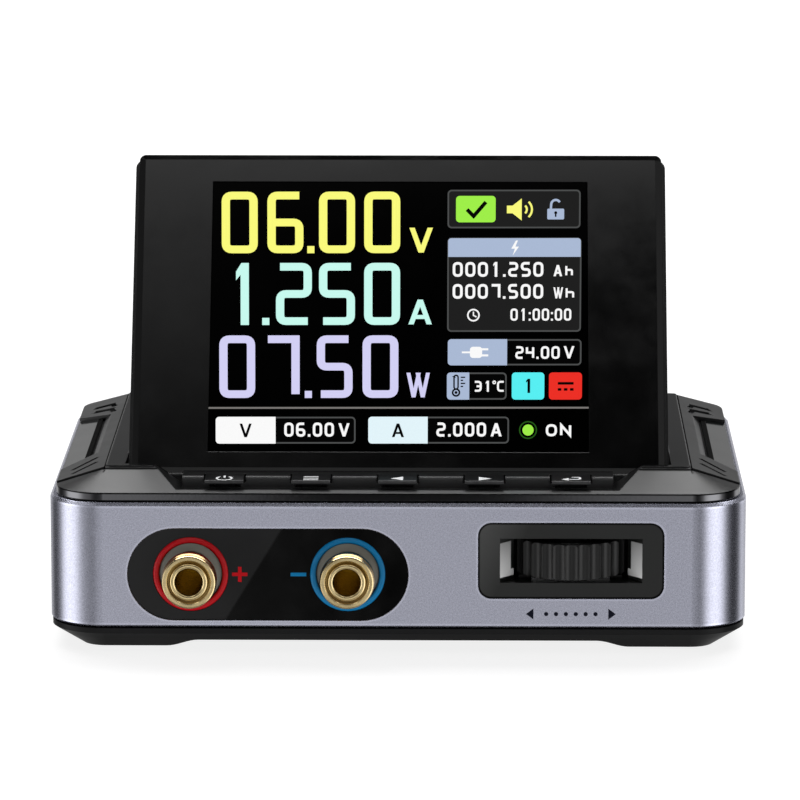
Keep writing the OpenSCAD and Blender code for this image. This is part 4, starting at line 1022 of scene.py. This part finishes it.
class SUPPLY_OT_inside(bpy.types.Operator):
    """Finishes the pieces inside the case and its rear ports"""
    bl_idname = "supply.inside"
    bl_label = "Inside and ports"

    def execute(self, context):
        dress(brushed_metal("shell_steel", (0.66, 0.67, 0.68), 0.28), "usb_c_shell", "data_port_shell",
              "power_jack_pin", "key_switches", "key_board_screws", "hinge_pins", "hinge_washers")
        dress(satin_plastic("port_plastic", (0.016, 0.016, 0.016), 0.45), "usb_c_tongue", "data_port_tongue",
              "power_jack", "power_transistors", "control_chips", "buzzer")
        dress(brushed_metal("sink_metal", (0.55, 0.56, 0.58), 0.4, (1, 0.05, 1)), "heat_sink")
        dress(satin_plastic("pressed_powder", (0.07, 0.07, 0.075), 0.6, 1500, 0.6), "power_inductor")
        dress(satin_plastic("can_sleeve", (0.03, 0.035, 0.06), 0.3), "capacitors")
        dress(satin_plastic("pale_plastic", (0.62, 0.60, 0.53), 0.4), "board_socket", "press_plunger",
              *[name + "_plunger" for name in KEYS])
        dress(satin_plastic("ribbon_film", (0.42, 0.20, 0.04), 0.25), "display_ribbon", "board_ribbon")
        return {"FINISHED"}


# The studio's soft light fields: level against the bearing from the front in degrees, and against the
# height of the direction. Beyond its last value a field keeps its level.
STUDIO = (
    # upright panels at both sides and the dim back
    ([(-180, 0.09), (-175, 0.2), (-160, 0.6), (-128, 0.06), (-112, 0.18), (-97, 1.2), (-80, 1.75),
      (-62, 1.3), (-46, 0.45), (-34, 0.3), (-12, 0.03), (13, 0.05), (24, 0.25), (36, 1.2), (54, 1.7),
      (70, 1.1), (84, 0.18), (98, 0.03), (112, 0.06), (124, 0.5), (137, 0.9), (150, 0.6), (160, 0.6),
      (175, 0.2), (180, 0.09)],
     [(-1, 0.1), (-0.8, 0.3), (-0.5, 1), (0.1, 1), (0.2, 0.8), (0.27, 0.35), (0.6, 0.2), (0.78, 0.1),
      (1, 0.1)]),
    # two low panels in front, one above and one below the camera's mirrored line of sight
    ([(-40, 0), (-26, 0.25), (-12, 0.95), (-2, 0.93), (8, 0.76), (20, 0.1), (30, 0)],
     [(-0.8, 0), (-0.6, 0.3), (-0.4, 0.8), (-0.28, 0.85), (-0.25, 0.0), (-0.15, 0.0), (-0.12, 0.85),
      (0.1, 0.7), (0.3, 0.3), (0.5, 0.04)]),
    # the gap between these two, brighter to both sides
    ([(-30, 0), (-14, 0.1), (-9, 0.4), (-6, 0.5), (-3.85, 0.44), (-3.06, 0.28), (-2.4, 0.155),
      (-1.94, 0.05), (-1.44, 0), (0.1, 0), (0.55, 0.05), (1.05, 0.17), (1.55, 0.28), (2.17, 0.4), (5, 0.5),
      (9, 0.3), (14, 0)],
     [(-0.29, 0), (-0.25, 1), (-0.15, 1), (-0.11, 0)]),
    # glow above the front, and what it spreads to the left
    ([(-90, 0.2), (-30, 1), (20, 1), (90, 0.1)],
     [(0.805, 0), (0.811, 0.1), (0.815, 0.28), (0.8205, 1.0), (0.828, 1.7), (0.85, 1.8), (0.88, 0.5),
      (0.94, 0.08), (1, 0.03)]),
    ([(-90, 0.2), (-30, 1), (-8, 1), (-5.5, 0.95), (-2, 0.45), (1, 0.12), (4, 0)],
     [(0.775, 0), (0.789, 0.115), (0.7955, 0.235), (0.8055, 0.48), (0.815, 0.45), (0.8205, 0.2), (0.83, 0)]),
    # a lamp high on the right
    ([(46, 0), (56, 1), (70, 1), (80, 0)], [(0.5, 0), (0.57, 0.28), (0.7, 0.28), (0.78, 0)]),
    # light from straight below
    ([(-180, 1), (180, 1)], [(-1, 0.55), (-0.93, 0.4), (-0.85, 0.06), (-0.6, 0)]),
)

# The photograph's view, in its pixels, as a camera fitted to it has it
FRAME_SIDE = 800
FOCAL_LENGTH = 5521.25
AIM_IN_FRAME = (400.38, 504.97)
AIM = Vector((0, 1.8 * MM, 15.5 * MM))  # the point of the object that lies there


class SUPPLY_OT_stage(bpy.types.Operator):
    """Makes the floor, the studio lights and the camera"""
    bl_idname = "supply.stage"
    bl_label = "Stage"

    def execute(self, context):
        s = settings()
        self.floor()
        self.overhead(22 * s.light_power)
        self.world(s.light_power)
        self.camera(s)
        return {"FINISHED"}

    def floor(self):
        """A plain white floor that lights itself and isn't seen in reflections."""
        half = 4
        corners = [(x, y, 0) for x, y in oblong(-half, -half, half, half)]
        f = Finish("studio_floor", (0.21, 0.21, 0.212), 0.5)
        f.set(Emission_Color=(1, 1, 1, 1), Emission_Strength=0.84)
        f.mottled(9, 0.01).smudged(14, 0.45, 0.55)
        floor = mesh_object("floor", corners, [(0, 1, 2, 3)], f.material)
        floor.visible_glossy = False

    def overhead(self, watts):
        """A wide soft lamp that hangs behind the object."""
        place, aim = Vector((0, 0.60, 0.95)), Vector((0, 0.60, 0))
        light = bpy.data.lights.new("overhead", "AREA")
        light.shape = "RECTANGLE"
        light.size, light.size_y = 1.6, 0.72
        light.energy = watts
        thing = bpy.data.objects.new("overhead", light)
        thing.location = place
        thing.rotation_euler = (aim - place).to_track_quat("-Z", "Y").to_euler()
        bpy.context.scene.collection.objects.link(thing)

    def world(self, power):
        """A studio of soft bright and dark panels all round, which the metal reflects as upright stripes."""
        world = bpy.data.worlds.new("studio")
        world.use_nodes = True
        bpy.context.scene.world = world
        n = Nodes(world.node_tree, "Generated")
        back = n.tree.nodes["Background"]
        back.inputs["Strength"].default_value = power
        height = n.split("Z")
        bearing = n.math("DEGREES", n.math("ARCTAN2", n.split("X"), n.times(n.split("Y"), -1)))
        fields = [n.times(n.curve(bearing, around), n.curve(height, upward)) for around, upward in STUDIO]
        n.put(back.inputs["Color"], n.plus(*fields))

    def camera(self, s):
        """The camera's place follows from its distance and elevation; it then turns until the object sits
        where the photograph has it."""
        low = math.cos(s.camera_elevation)
        away = Vector((math.sin(s.camera_turn) * low, -math.cos(s.camera_turn) * low,
                       math.sin(s.camera_elevation)))
        right = (-away).cross(Vector((0, 0, 1))).normalized()
        up = right.cross(-away)
        aim_x, aim_y = AIM_IN_FRAME
        turn = (right * (FRAME_SIDE / 2 - aim_x) + up * (aim_y - FRAME_SIDE / 2)) / FOCAL_LENGTH
        lens = bpy.data.cameras.new("camera")
        lens.sensor_width = 36
        lens.lens = FOCAL_LENGTH / FRAME_SIDE * lens.sensor_width
        lens.clip_start = 0.01
        lens.clip_end = 30
        thing = bpy.data.objects.new("camera", lens)
        thing.location = AIM + away * s.camera_distance
        thing.rotation_euler = (turn - away).to_track_quat("-Z", "Y").to_euler()
        bpy.context.scene.collection.objects.link(thing)
        bpy.context.scene.camera = thing
        bpy.context.scene.view_settings.view_transform = "Standard"


STEPS = (SUPPLY_OT_case, SUPPLY_OT_sockets, SUPPLY_OT_wheel, SUPPLY_OT_keys, SUPPLY_OT_display,
         SUPPLY_OT_inside, SUPPLY_OT_stage)


class SUPPLY_PT_panel(bpy.types.Panel):
    """Lists the settings and the steps"""
    bl_idname = "SUPPLY_PT_panel"
    bl_label = "Laboratory supply"
    bl_space_type = "VIEW_3D"
    bl_region_type = "UI"
    bl_category = "Supply"

    def draw(self, context):
        values = context.scene.supply_settings
        for name in values.__annotations__:
            self.layout.prop(values, name)
        for step in STEPS:
            self.layout.operator(step.bl_idname)


CLASSES = (SupplySettings, *STEPS, SUPPLY_PT_panel)


def register():
    for item in CLASSES:
        bpy.utils.register_class(item)
    bpy.types.Scene.supply_settings = bpy.props.PointerProperty(type=SupplySettings)


def unregister():
    del bpy.types.Scene.supply_settings
    for item in reversed(CLASSES):
        bpy.utils.unregister_class(item)


def main():
    register()
    bpy.ops.supply.case()
    bpy.ops.supply.sockets()
    bpy.ops.supply.wheel()
    bpy.ops.supply.keys()
    bpy.ops.supply.display()
    bpy.ops.supply.inside()
    bpy.ops.supply.stage()


if __name__ == "__main__":
    main()
